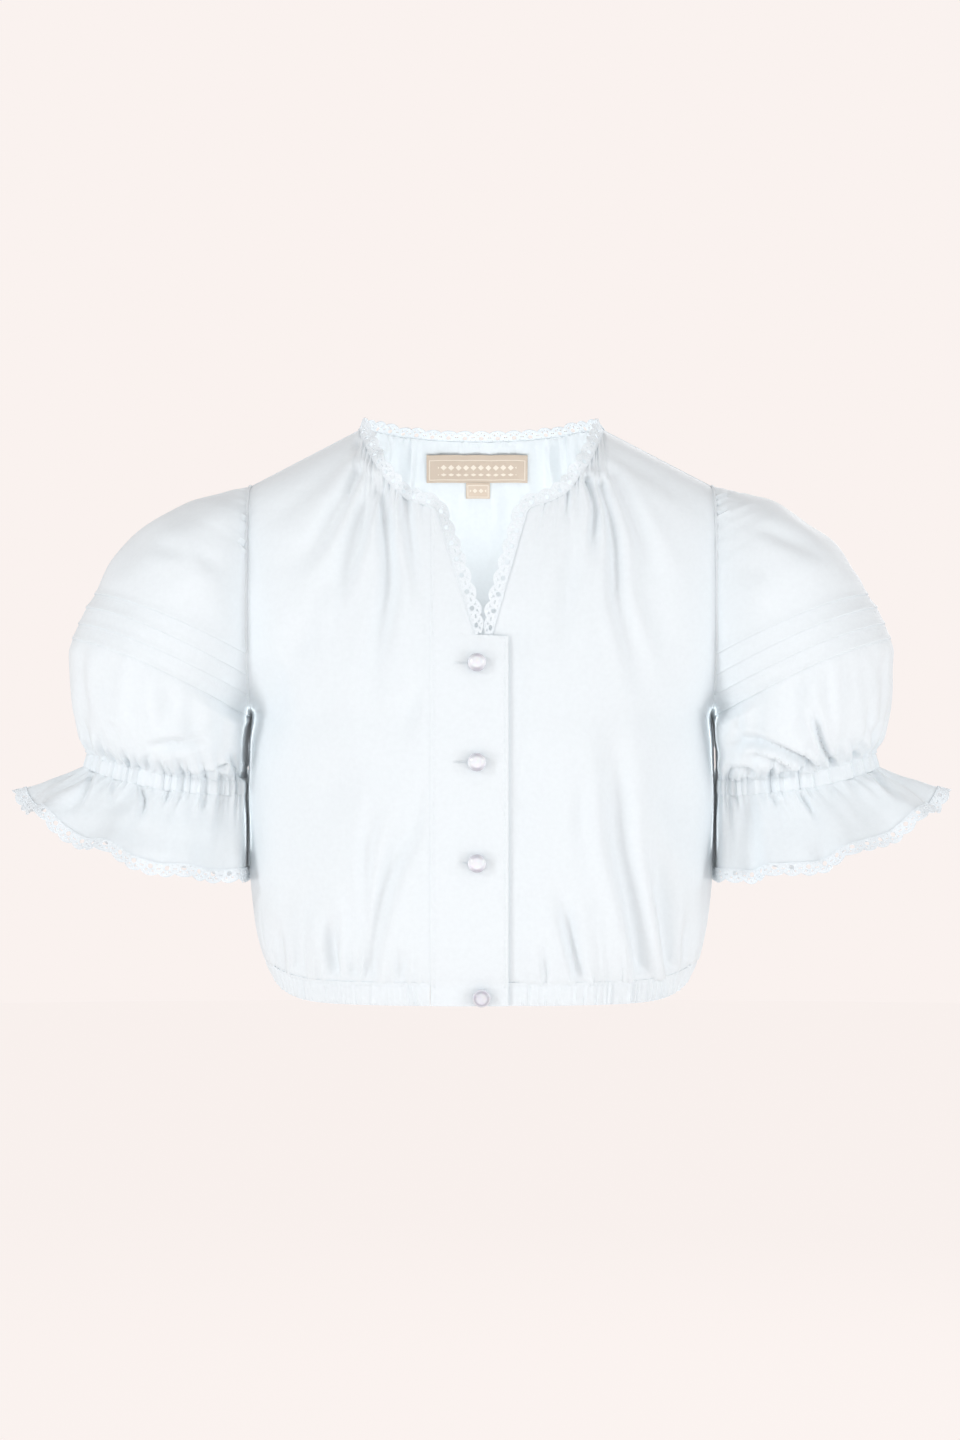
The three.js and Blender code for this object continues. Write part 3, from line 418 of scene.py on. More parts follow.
def crease_depth(creases, x, z, top=-58, bottom=-350):
    """How far creases push a point. They are held above top and below bottom, and fade elsewhere."""
    depth = np.zeros_like(x)
    for line, width, deep, ridge in creases:
        curve, lengths = spline(line, 40)
        nearest = np.full(x.shape, 1e9)
        along = np.zeros_like(x)
        aside = np.zeros_like(x)
        for index in range(len(curve) - 1):
            start, end = curve[index], curve[index + 1]
            step = end - start
            size = math.hypot(*step)
            share = np.clip(((x - start[0]) * step[0] + (z - start[1]) * step[1]) / size**2, 0, 1)
            away_x = x - start[0] - share * step[0]
            away_z = z - start[1] - share * step[1]
            distance = np.hypot(away_x, away_z)
            closer = distance < nearest
            nearest = np.where(closer, distance, nearest)
            along = np.where(closer, lengths[index] + share * size, along)
            side = (x - start[0]) * step[1] - (z - start[1]) * step[0]
            aside = np.where(closer, np.sign(side) * distance, aside)
        share = along / lengths[-1]
        held_start, held_end = line[0][1] > top, line[-1][1] < bottom
        rise = 1 if held_start else smooth(share, 0, 0.5)
        fall = 1 if held_end else 1 - smooth(share, 0.35, 1)
        taper = rise * fall
        if held_start:
            spread = width * (0.7 + 0.75 * share)
        elif held_end:
            spread = width * (1.4 - 0.75 * share)
        else:
            spread = width * (0.85 + 0.3 * np.sin(np.pi * share))
        trough = np.exp(-((aside / spread) ** 2))
        beside = np.exp(-(((np.abs(aside) - 1.9 * spread) / spread) ** 2))
        strength = CREASE_STRENGTH if held_start else FREE_CREASE_STRENGTH
        depth -= strength * deep * taper * (trough - 0.5 * ridge * beside)
    return depth


def shallow_near(amount, distance, deepest):
    """Keeps troughs shallow where the cloth meets a casing, and lets them deepen away from it."""
    limit = lerp(deepest, 14, smooth(distance, 0, 14))
    return np.where(amount < 0, -limit * np.tanh(-amount / limit), amount)


def gathers(seed, low, high, pitch, depth, reach, drift=0.0):
    """Small gathers along an edge: place, half width, depth, reach and drift of each, all uneven."""
    chance = np.random.default_rng(seed)
    found = []
    at = low
    while at < high:
        found.append(
            (
                at,
                pitch * chance.uniform(0.22, 0.4),
                depth * chance.uniform(0.35, 1.25),
                reach * chance.uniform(0.3, 1.6),
                drift * chance.uniform(-1, 1),
            )
        )
        at += pitch * chance.uniform(0.65, 1.5)
    return found


def pleat(aside):
    """A small trough with a low ridge on both sides."""
    return np.exp(-(aside**2)) - 0.42 * np.exp(-((np.abs(aside) - 1.8) ** 2))


def gather_depth(found, along, away, widen=0.02):
    depth = np.zeros(np.broadcast(along, away).shape)
    for place, width, deep, reach, drift in found:
        spread = width * (1 + widen * away)
        middle = place + drift * away
        fade = np.exp(-((away / reach) ** 1.4))
        depth -= deep * fade * pleat((along - middle) / spread)
    return depth


def undulation(seed, points, size, depth):
    """Slow waves in the cloth, from a few plane waves of different lengths and directions."""
    chance = np.random.default_rng(seed)
    total = np.zeros(points.shape[:-1])
    for _ in range(14):
        direction = chance.normal(size=3) * (1.25, 0.8, 0.55)
        wave = direction / np.linalg.norm(direction) / (size * chance.uniform(0.5, 1.7))
        total += chance.uniform(0.3, 1) * np.sin(2 * np.pi * (points @ wave) + chance.uniform(0, 6.3))
    return depth * total / 3


def deselect_all():
    bpy.ops.object.select_all(action="DESELECT")


def select_only(piece):
    deselect_all()
    piece.select_set(True)
    bpy.context.view_layer.objects.active = piece


def apply_modifiers(piece):
    select_only(piece)
    bpy.context.view_layer.update()
    for modifier in list(piece.modifiers):
        bpy.ops.object.modifier_apply(modifier=modifier.name)


def join(pieces, name):
    deselect_all()
    for piece in pieces:
        piece.select_set(True)
    bpy.context.view_layer.objects.active = pieces[0]
    if len(pieces) > 1:
        bpy.ops.object.join()
    piece = bpy.context.object
    piece.name = name
    piece.data.name = name
    return piece


def edit_all(piece, operation, **settings):
    """Runs one of Blender's mesh operations on the whole piece."""
    select_only(piece)
    bpy.ops.object.mode_set(mode="EDIT")
    bpy.ops.mesh.select_all(action="SELECT")
    operation(**settings)
    bpy.ops.object.mode_set(mode="OBJECT")


def flip_faces(piece):
    edit_all(piece, bpy.ops.mesh.flip_normals)


def merge_doubles(piece, distance=0.00001):
    edit_all(piece, bpy.ops.mesh.remove_doubles, threshold=distance)


def close_ends(piece):
    edit_all(piece, bpy.ops.mesh.fill_holes, sides=60)


def smooth_shade(piece, degrees):
    select_only(piece)
    bpy.ops.object.shade_smooth_by_angle(angle=math.radians(degrees))


def cloth_piece(name, points, outward, thickness, merged=False):
    """A grid shaped into a sheet of cloth and given its thickness on the inside, with a UV map in metres."""
    rows, columns = points.shape[:2]
    deselect_all()
    bpy.ops.mesh.primitive_grid_add(x_subdivisions=columns - 1, y_subdivisions=rows - 1, size=1)
    piece = bpy.context.object
    piece.name = name
    piece.data.name = name
    mesh = piece.data
    start = np.empty(len(mesh.vertices) * 3)
    mesh.vertices.foreach_get("co", start)
    start = start.reshape(-1, 3)
    order = np.lexsort((start[:, 0].round(6), start[:, 1].round(6)))
    placed = np.empty_like(start)
    placed[order] = points.reshape(-1, 3) * MM
    mesh.vertices.foreach_set("co", placed.ravel())
    across = np.linalg.norm(np.diff(points, axis=1), axis=-1).mean(axis=0)
    along = np.linalg.norm(np.diff(points, axis=0), axis=-1).mean(axis=1)
    flat = np.empty((rows, columns, 2))
    flat[..., 0] = np.concatenate([[0], np.cumsum(across)])[None, :]
    flat[..., 1] = np.concatenate([[0], np.cumsum(along)])[:, None]
    spots = np.empty((rows * columns, 2))
    spots[order] = flat.reshape(-1, 2) * MM
    corners = np.empty(len(mesh.loops), int)
    mesh.loops.foreach_get("vertex_index", corners)
    mesh.uv_layers[0].data.foreach_set("uv", spots[corners].ravel())
    mesh.update()
    facing = np.empty(len(mesh.polygons) * 3)
    mesh.polygons.foreach_get("normal", facing)
    centres = np.empty(len(mesh.polygons) * 3)
    mesh.polygons.foreach_get("center", centres)
    wanted = outward(centres.reshape(-1, 3) / MM)
    if np.sum(facing.reshape(-1, 3) * wanted) < 0:
        flip_faces(piece)
    if merged:
        merge_doubles(piece)
    wall = piece.modifiers.new("Thickness", "SOLIDIFY")
    wall.thickness = thickness * MM
    wall.offset = -1
    apply_modifiers(piece)
    smooth_shade(piece, 50)
    return piece


def from_axis(points):
    """Outward directions of the body, from its upright middle line."""
    return unit(points * (1, 1, 0))


def away_from(hand, middle):
    """Outward directions of a piece that surrounds a point, given as on the left."""

    def outward(points):
        return unit(points - np.array(middle, float) * (hand, 1, 1))

    return outward


def straight_out(direction):
    """One outward direction for a whole piece."""

    def outward(points):
        return np.broadcast_to(np.array(direction, float), points.shape)

    return outward


def underlap(x, z):
    aside = 1 - smooth(x, BAND_RIGHT + 5, BAND_RIGHT + 18)
    below = 1 - smooth(z, SLIT_BOTTOM + 5, SLIT_BOTTOM + 24)
    return -UNDERLAP_DEPTH * aside * below


def slit_x(z, bottom_x):
    return lerp(bottom_x, SLIT_TOP_X, np.clip((z - SLIT_BOTTOM) / (SLIT_TOP - SLIT_BOTTOM), 0, 1))


def tucked_under(points, normal, down, inward):
    """Adds a first row that runs on under the neighbouring casing."""
    hidden = points[0] + unit(points[0] - points[1]) * down - normal[0] * inward
    return np.concatenate([hidden[None], points])


def front_points(hand, neck_columns=82, shoulder_columns=40, rows=140):
    """One front, gathered into the neckline. Hand is 1 on the wearer's left."""
    across = np.concatenate(
        [np.linspace(0, NECK_SHARE, neck_columns), np.linspace(NECK_SHARE, 1, shoulder_columns)[1:]]
    )
    up = np.linspace(0, 1, rows)
    left = hand > 0
    bottom_x = UNDERLAP_X if left else RIGHT_UNDER_X
    top_x = SLIT_TOP_X if left else RIGHT_UNDER_X
    angles = lerp(angle_at(bottom_x), math.pi / 2, across)
    bottom = girth_points(angles, CASING + SEAM_GAP, -1)[:, [0, 2]]
    at_neck = across <= NECK_SHARE + 1e-9
    neck = along_curve([(top_x, SLIT_TOP), *NECKLINE], np.clip(across / NECK_SHARE, 0, 1))
    share = np.sin((math.pi / 2) * np.clip((across - NECK_SHARE) / (1 - NECK_SHARE), 0, 1))
    shoulder = np.stack([lerp(NECK_HALF, ARMHOLE_X, share), -SHOULDER_DROP * share], axis=-1)
    top = np.where(at_neck[:, None], neck, shoulder)
    left_z = lerp(bottom[0, 1], SLIT_TOP, up)
    if left:
        under = lerp(UNDERLAP_X, SLIT_LEFT_X, smooth(left_z, -165, SLIT_BOTTOM))
        left_x = np.where(left_z < SLIT_BOTTOM, under, slit_x(left_z, SLIT_LEFT_X))
    else:
        left_x = np.full(rows, RIGHT_UNDER_X)
    right_z = lerp(bottom[-1, 1], -SHOULDER_DROP, up)
    right_x = np.where(right_z < ARMPIT_Z, half_width(right_z), ARMHOLE_X)
    flat = patch(
        np.stack([left_x, left_z], axis=-1), np.stack([right_x, right_z], axis=-1), bottom, top, across, up
    )
    x, z = flat[..., 0], flat[..., 1]
    points = body_points(x, z, -1)
    points[..., 1] -= HALF_SIDE_GAP
    normal = normals_of(points, np.array(TO_FRONT))
    neck_length = 78 * across / NECK_SHARE
    below_neck = np.linalg.norm(flat - top[None], axis=-1)
    hem_length = lengths_along(points[0])
    above_hem = z - bottom[None, :, 1]
    seed = 11 if left else 23
    at_neckline = gathers(seed, 12 if left else 8, 78, 4.2, 1.25, 26, 0.05)
    at_hem = gathers(seed + 1, 14 if left else 2, hem_length[-1] - 6, 4.6, 0.95, 18, 0.04)
    neck_gathers = gather_depth(at_neckline, neck_length[None, :], below_neck, 0.022)
    neck_gathers *= 1 - smooth(across[None, :], NECK_SHARE - 0.02, NECK_SHARE + 0.03)
    hem_gathers = gather_depth(at_hem, hem_length[None, :], np.maximum(above_hem, 0), 0.015)
    creases = crease_depth(LEFT_CREASES if left else RIGHT_CREASES, x, z)
    waves = undulation(seed + 2, points, 75, 0.9)
    edge = (1 - smooth(across, 0.93, 1))[None, :] * np.where(at_neck[None, :], 1, 1 - up[:, None] ** 8)
    flat_by_band = smooth(x, BAND_RIGHT, BAND_RIGHT + 10) if left else smooth(x, 33, 42)
    amount = edge * flat_by_band * (creases + neck_gathers + hem_gathers + waves)
    amount = shallow_near(amount, above_hem, 0.5)
    if left:
        amount = amount + underlap(x, z)
    else:
        amount = amount - 1.5 * (1 - smooth(x, RIGHT_UNDER_X, -BAND_LEFT - 0.3))
    step = normal * amount[..., None]
    step[:, 0, 0] = 0
    step[:, -1, 1] = 0
    step[-1, ~at_neck, 1] = 0
    points = tucked_under(points + step, normal, 2.4, 1.3)
    points[0, -1, 1] = points[1, -1, 1]
    points[..., 0] *= hand
    return points, np.searchsorted(across, NECK_SHARE + 1e-9)


def back_points(half_neck=62, half_shoulder=42, rows=132):
    by_shoulder = np.linspace(BACK_NECK_SHARE, 1, half_shoulder)[1:]
    half = np.concatenate([np.linspace(0, BACK_NECK_SHARE, half_neck), by_shoulder])
    spread = np.concatenate([-half[::-1], half[1:]])
    across = (spread + 1) / 2
    up = np.linspace(0, 1, rows)
    bottom = girth_points(spread * math.pi / 2, CASING + SEAM_GAP, 1)[:, [0, 2]]
    away = np.abs(spread)
    at_neck = away <= BACK_NECK_SHARE + 1e-9
    neck_x = NECK_HALF * np.clip(away / BACK_NECK_SHARE, 0, 1)
    neck_z = -BACK_NECK_DIP * (1 - (neck_x / NECK_HALF) ** 2)
    share = np.sin((math.pi / 2) * np.clip((away - BACK_NECK_SHARE) / (1 - BACK_NECK_SHARE), 0, 1))
    top_x = np.where(at_neck, neck_x, lerp(NECK_HALF, ARMHOLE_X, share))
    top_z = np.where(at_neck, neck_z, -SHOULDER_DROP * share)
    top = np.stack([np.sign(spread) * top_x, top_z], axis=-1)
    side_z = lerp(bottom[0, 1], -SHOULDER_DROP, up)
    side_x = np.where(side_z < ARMPIT_Z, half_width(side_z), ARMHOLE_X)
    flat = patch(
        np.stack([-side_x, side_z], axis=-1), np.stack([side_x, side_z], axis=-1), bottom, top, across, up
    )
    x, z = flat[..., 0], flat[..., 1]
    points = body_points(x, z, 1)
    points[..., 1] += HALF_SIDE_GAP
    normal = normals_of(points, np.array(TO_BACK))
    neck_length = 90 * spread / BACK_NECK_SHARE
    below_neck = np.linalg.norm(flat - top[None], axis=-1)
    hem_length = lengths_along(points[0])
    above_hem = np.maximum(z - bottom[None, :, 1], 0)
    at_neckline = gathers(37, -84, 84, 4.6, 1.2, 24, 0.05)
    at_hem = gathers(38, 6, hem_length[-1] - 6, 4.8, 0.95, 19, 0.04)
    neck_gathers = gather_depth(at_neckline, neck_length[None, :], below_neck, 0.022)
    neck_gathers *= 1 - smooth(away[None, :], BACK_NECK_SHARE - 0.02, BACK_NECK_SHARE + 0.03)
    hem_gathers = gather_depth(at_hem, hem_length[None, :], above_hem, 0.015)
    creases = crease_depth(BACK_CREASES, x, z)
    waves = undulation(39, points, 80, 0.9)
    edge = (1 - smooth(away, 0.93, 1))[None, :] * np.where(at_neck[None, :], 1, 1 - up[:, None] ** 8)
    by_label = (1 - smooth(np.abs(x), 38, 50)) * smooth(z, -48, -32)
    folds = (creases + neck_gathers + hem_gathers) * (1 - 0.75 * by_label)
    amount = shallow_near(edge * (folds + waves), above_hem, 0.5)
    step = normal * amount[..., None]
    step[:, [0, -1], 1] = 0
    step[-1, ~at_neck, 1] = 0
    points = tucked_under(points + step, normal, 2.4, 1.3)
    points[0, [0, -1], 1] = points[1, [0, -1], 1]
    return points, at_neck


def casing_points(face, low, high, columns, last_x=None, flat_by_band=False, seed=51):
    """The hem casing, whose elastic draws it into small gathers between two rows of stitching."""
    across = np.linspace(0, 1, columns)
    up = np.linspace(0, 1, 17)
    angles = lerp(low, high, across)
    points = girth_points(angles[None, :], up[:, None] * (CASING + SEAM_GAP - 0.1), face)
    if last_x is not None:
        points[:, -1] = body_points(last_x, points[:, -1, 2], face)
    points[..., 1] += face * HALF_SIDE_GAP
    normal = normals_of(points, np.array([0.0, face, 0]))
    length = lengths_along(points[0])
    found = gathers(seed, 1, length[-1], 3.1, 0.85, 60, 0.02)
    found += gathers(seed + 1, 1, length[-1], 5.4, 0.7, 9)
    wrinkles = gather_depth(found, length[None, :], up[:, None] * CASING)
    loose = smooth(math.pi / 2 - np.abs(angles), 0, 0.1)[None, :]
    if flat_by_band:
        loose = loose * smooth(points[..., 0], BAND_RIGHT, BAND_RIGHT + 10)
    swell = 0.9 * np.sin(np.pi * up)[:, None] ** 0.6
    seam = -0.5 * np.exp(-(((up - 0.86) / 0.05) ** 2))[:, None]
    amount = loose * (wrinkles + swell + seam)
    if flat_by_band:
        amount = amount + underlap(points[..., 0], points[..., 2])
    step = normal * amount[..., None]
    step[..., 2] *= 0.15
    for column in (0, -1):
        if abs(angles[column]) > math.pi / 2 - 1e-6:
            step[:, column, 1] = 0
    return points + step


def band_points(columns=44, rows=176):
    """The button band, cut away along the slit, with a rounded fold along both edges."""
    low = float(hem_line(0))
    up = np.linspace(low, SLIT_TOP, rows)
    up[np.argmin(np.abs(up - SLIT_BOTTOM - 0.6))] = SLIT_BOTTOM + 0.6
    right = np.where(up < SLIT_BOTTOM + 1, BAND_RIGHT, -slit_x(up, -SLIT_BAND_X))
    share = 0.5 - 0.5 * np.cos(np.linspace(0, np.pi, columns))
    share = lerp(np.linspace(0, 1, columns), share, 0.6)
    x = lerp(BAND_LEFT, right[:, None], share[None, :])
    points = body_points(x, up[:, None], -1)
    normal = normals_of(points, np.array(TO_FRONT))
    from_left = x - BAND_LEFT
    from_right = right[:, None] - x
    at_edge = np.minimum(from_left, from_right)
    proud = BAND_PROUD - 0.55 * np.exp(-((from_right / 0.5) ** 2)) - 0.2 * np.exp(-((from_left / 0.8) ** 2))
    stitched = -0.28 * np.exp(-(((at_edge - 2.2) / 0.7) ** 2))
    waves = undulation(61, points, 46, 0.32) * smooth(at_edge, 0, 6)
    puckers = 0.16 * np.sin(up[:, None] * 1.05 + 1.4 * np.sin(up[:, None] * 0.21))
    puckers = puckers * np.exp(-(((at_edge - 2.4) / 2.2) ** 2))
    dents = np.zeros_like(x)
    for button_x, button_z in BUTTON_PLACES:
        distance = np.hypot(x - button_x, (up[:, None] - button_z) * 0.9)
        dents -= 0.45 * np.exp(-((distance / 7) ** 2))
        pulled = np.abs(up[:, None] - button_z - 0.25 * np.abs(x - button_x))
        dents -= 0.3 * np.exp(-((pulled / 2.5) ** 2)) * np.exp(-((distance / 16) ** 2))
    corner = smooth(up[:, None], SLIT_BOTTOM - 6, SLIT_BOTTOM + 1) * smooth(x, SLIT_BAND_X, SLIT_BAND_X + 6)
    proud = proud - 0.5 * corner
    step = normal * (proud + stitched + waves + puckers + dents)[..., None]
    step[:, 0, 0] = 0
    return points + step


def sleeve_point_rows(rows, turn, squared=0.0):
    """Points of a sleeve: turn runs from -1 at the front, over 0 outside, to 1 at the back."""
    inner_x, inner_z, outer_x, outer_z, depth, droop = (value[:, None] for value in rows)
    turn = turn[None, :]
    face = np.where(turn < 0, -1, 1)
    seam_front = np.abs(body_points(ARMHOLE_X, inner_z, -1)[..., 1])
    seam_back = np.abs(body_points(ARMHOLE_X, inner_z, 1)[..., 1])
    seam = np.where(inner_z > ARMPIT_Z, np.where(turn < 0, seam_front, seam_back), 0)
    depth = np.maximum(depth, seam * 1.03)
    end = np.pi - np.arcsin(seam / depth)
    centre = (inner_x - outer_x * np.cos(end)) / (1 - np.cos(end))
    angle = np.abs(turn) * end
    x = centre + (outer_x - centre) * np.cos(angle)
    inward = np.clip((outer_x - x) / np.maximum(0.01, outer_x - inner_x), 0, 1)
    drop = lerp(inward**ROW_SAG, 1 - (1 - inward) ** DROOP_SAG, droop)
    power = 1 - 0.68 * smooth(angle, math.pi / 2, math.pi) * np.reshape(squared, (-1, 1))
    y = face * depth * np.clip(np.sin(angle), 0, 1) ** power
    return np.stack([x, y, lerp(outer_z, inner_z, drop)], axis=-1)


def tuck_rows():
    """Places down the sleeve, and how proud the cloth stands there: each tuck folds back under itself."""
    places, proud = [], []
    for place in np.linspace(0, FIRST_TUCK_ROW - 1, 43):
        places.append(place)
        proud.append(0)
    for index in range(TUCKS):
        base = FIRST_TUCK_ROW - 1 + index
        for share, height in TUCK_RISE + TUCK_FOLD:
            if index == 0 or share > 0.2:
                places.append(base + share)
                proud.append(height)
    for place in np.linspace(FIRST_TUCK_ROW - 1 + TUCKS + 0.08, CASING_ROW - 0.06, 44):
        places.append(place)
        proud.append(0)
    return np.array(places), np.array(proud)


def cuff_gathers(hand):
    """Gathers of a sleeve's lower edge, in turn: they run from the puff through the casing to the flounce."""
    seed = 71 if hand > 0 else 83
    return gathers(seed, -0.97, 0.97, 0.034, 1, 1), gathers(seed + 1, -0.95, 0.95, 0.085, 1, 1)


def turn_waves(found, turn):
    total = np.zeros_like(turn)
    for place, width, deep, _, _ in found:
        total -= deep * pleat((turn - place) / width)
    return total


def sleeve_points(hand, columns=208):
    turn = np.linspace(-1, 1, columns)
    places, proud = tuck_rows()
    casing = np.linspace(CASING_ROW, CASING_ROW + 1, 13)
    places = np.concatenate([places, casing])
    proud = np.concatenate([proud, np.zeros(len(casing))])
    rows = SLEEVE.read(places)
    upper = places <= ARMPIT_ROW
    rows[0] = np.where(upper, SLEEVE_SEAM_X, rows[0])
    squared = smooth(places, ARMPIT_ROW, ARMPIT_ROW + 1)
    points = sleeve_point_rows(rows, turn, squared)
    points[0] = (SLEEVE_SEAM_X, 0, rows[1][0])
    lower = ~(places < ARMPIT_ROW)
    points[np.ix_(lower, [0, columns - 1])] *= (1, 0, 1)
    across = np.gradient(points, axis=1)
    step = 0.05
    above = SLEEVE.read(np.clip(places - step, 0, CASING_ROW + 1))
    below = SLEEVE.read(np.clip(places + step, 0, CASING_ROW + 1))
    above[0] = np.where(upper, SLEEVE_SEAM_X, above[0])
    below[0] = np.where(upper, SLEEVE_SEAM_X, below[0])
    upward = sleeve_point_rows(below, turn, squared) - sleeve_point_rows(above, turn, squared)
    normal = np.cross(across, upward)
    size = np.linalg.norm(normal, axis=-1, keepdims=True)
    away = unit(points - SLEEVE_MIDDLE)
    normal = np.where(size > 1e-6, normal / np.maximum(size, 1e-6), away)
    normal *= np.where(np.sum(normal * away, axis=-1).mean() < 0, -1, 1)
    row_steps = np.linalg.norm(np.diff(points, axis=1), axis=-1)
    from_front = np.concatenate([np.zeros((len(places), 1)), np.cumsum(row_steps, axis=1)], axis=1)
    from_seam = np.minimum(from_front, from_front[:, -1:] - from_front)
    seam_length = np.interp(places, SLEEVE.keys, 1.25 * np.abs(SLEEVE.read(SLEEVE.keys)[1] + 38.9))
    seed = 91 if hand > 0 else 97
    amount = np.zeros(points.shape[:-1])
    in_front = gathers(seed, 3, 66, 4.4, 1.5, 20, 0.12)
    behind = gathers(seed + 1, 3, 80, 4.6, 1.5, 22, 0.12)
    for side, found in ((-1, in_front), (1, behind)):
        here = gather_depth(found, seam_length[:, None], from_seam, 0.03)
        fade = 1 - smooth(seam_length, 58, 86)
        amount += np.where(np.sign(turn)[None, :] == side, here * fade[:, None], 0)
    amount *= smooth(places, 0.15, 0.8)[:, None] * smooth(from_seam, 0, 2)
    fine, coarse = cuff_gathers(hand)
    fine_waves = turn_waves(fine, turn)[None, :]
    coarse_waves = turn_waves(coarse, turn)[None, :]
    loose = (1 - smooth(np.abs(turn), 0.93, 1))[None, :]
    into = smooth(places, 12.2, CASING_ROW - 0.2)[:, None]
    puff = (places < CASING_ROW)[:, None]
    puff_gathers = (1.8 * fine_waves * into**2.2 + 2.1 * coarse_waves * into * (1 - 0.45 * into)) * puff
    in_casing = smooth(places, CASING_ROW - 0.3, CASING_ROW + 0.1)[:, None]
    band = np.clip(places - CASING_ROW, 0, 1)[:, None]
    casing_gathers = in_casing * (1.9 * fine_waves + 1.1 * coarse_waves)
    swell = in_casing * 0.5 * np.sin(np.pi * band) ** 0.7
    overhang = 2.1 * np.exp(-(((places - 14.1) / 0.55) ** 2))[:, None] * puff * (0.6 + 0.4 * coarse_waves)
    pleats = gathers(seed + 3, -0.8, 0.8, 0.1, 1, 1)
    below_tucks = smooth(places, 9.5, 11.2) * (1 - smooth(places, 12.5, 14))
    outside = (1 - smooth(np.abs(turn), 0.75, 0.95))[None, :]
    hanging = 1.3 * turn_waves(pleats, turn)[None, :] * below_tucks[:, None] * outside
    waves = undulation(seed + 4, points, 60, 1.3)
    by_tucks = smooth(places, 5.2, 6.2) * (1 - smooth(places, 10, 11))
    waves *= np.clip(smooth(places, 0.4, 2.5) - 0.75 * by_tucks, 0, 1)[:, None]
    waves *= (1 - in_casing) * smooth(from_seam, 0, 8)
    front_side = smooth(-turn, 0.02, 0.12)[None, :]
    back_side = smooth(turn, 0.02, 0.12)[None, :]
    tables = (SLEEVE_LEFT_CREASES, SLEEVE_RIGHT_CREASES)[:: int(hand)]
    x, z = points[..., 0], points[..., 2]
    creases = crease_depth(tables[0], x, z, -40, -222) * front_side
    creases += crease_depth(tables[1], x + 5, z - 2, -40, -222) * back_side
    creases *= 0.8 * (1 - in_casing) * smooth(from_seam, 0, 3)
    amount += loose * (puff_gathers + casing_gathers + overhang + hanging) + swell + waves + creases
    amount += TUCK_HEIGHT * proud[:, None] * smooth(from_seam, 0, 1.5)
    step = normal * amount[..., None]
    step[np.ix_(upper, [0, columns - 1], [0])] = 0
    step[np.ix_(~upper, [0, columns - 1], [1])] = 0
    points = points + step
    points[np.ix_(lower, [0, columns - 1], [1])] = 0
    points[..., 0] = np.maximum(points[..., 0], SLEEVE_SEAM_X)
    points[..., 0] *= hand
    return points


def flounce_points(hand, columns=244, rows=34):
    turn = np.linspace(-1, 1, columns)
    places = 3 * np.linspace(0, 1, rows) ** 1.15
    points = sleeve_point_rows(FLOUNCE.read(places), turn, 1.0)
    points[:, [0, -1]] *= (1, 0, 1)
    normal = normals_of(points, np.array([0.0, 0, 1]))
    away = points - FLOUNCE_MIDDLE
    normal *= np.where(np.sum(normal * away, axis=-1).mean() < 0, -1, 1)
    share = places / 3
    free = 1 - 0.9 * smooth(np.abs(turn), 0.7, 1)
    uneven = 1 + 0.25 * np.sin(3.1 * np.pi * turn + hand)
    phase = FLOUNCE_WAVES * np.pi * turn
    wave = np.cos(phase) + 0.22 * np.cos(2 * phase + 0.7 + hand)
    amount = 5 * (free * uneven * wave)[None, :] * (share**1.3)[:, None]
    fine, coarse = cuff_gathers(hand)
    loose = (1 - smooth(np.abs(turn), 0.93, 1))[None, :]
    fine_fade = np.exp(-((share / 0.2) ** 1.3))[:, None]
    coarse_fade = np.exp(-((share / 0.7) ** 1.5))[:, None]
    amount += loose * 1.9 * turn_waves(fine, turn)[None, :] * fine_fade
    coarse_depth = 1.1 + 0.3 * smooth(share, 0, 0.2)[:, None]
    amount += loose * coarse_depth * turn_waves(coarse, turn)[None, :] * coarse_fade
    tables = (FLOUNCE_LEFT_CREASES, FLOUNCE_RIGHT_CREASES)[:: int(hand)]
    x, z = points[..., 0], points[..., 2]
    creases = crease_depth(tables[0], x, z, -243, -999) * smooth(-turn, 0.02, 0.1)[None, :]
    creases += crease_depth(tables[1], x + 4, z - 1, -243, -999) * smooth(turn, 0.02, 0.1)[None, :]
    amount += creases * loose
    amount = shallow_near(amount, 55 * share[:, None], 0.9)
    amount += undulation(131 + hand, points, 38, 0.8) * smooth(share, 0.1, 0.6)[:, None] * loose
    step = normal * amount[..., None]
    step[:, [0, -1], 1] = 0
    points = tucked_under(points + step, normal, 2.2, 1.2)
    points[:, [0, -1], 1] = 0
    points[..., 0] *= hand
    return points


def eased(points, reach):
    """A line evened out over a few points to each side, with its two ends kept."""
    if reach < 1:
        return points
    before = 2 * points[0] - points[reach:0:-1]
    after = 2 * points[-1] - points[-2 : -reach - 2 : -1]
    longer = np.vstack([before, points, after])
    window = np.ones(2 * reach + 1) / (2 * reach + 1)
    return np.stack([np.convolve(longer[:, axis], window, "valid") for axis in range(3)], axis=-1)


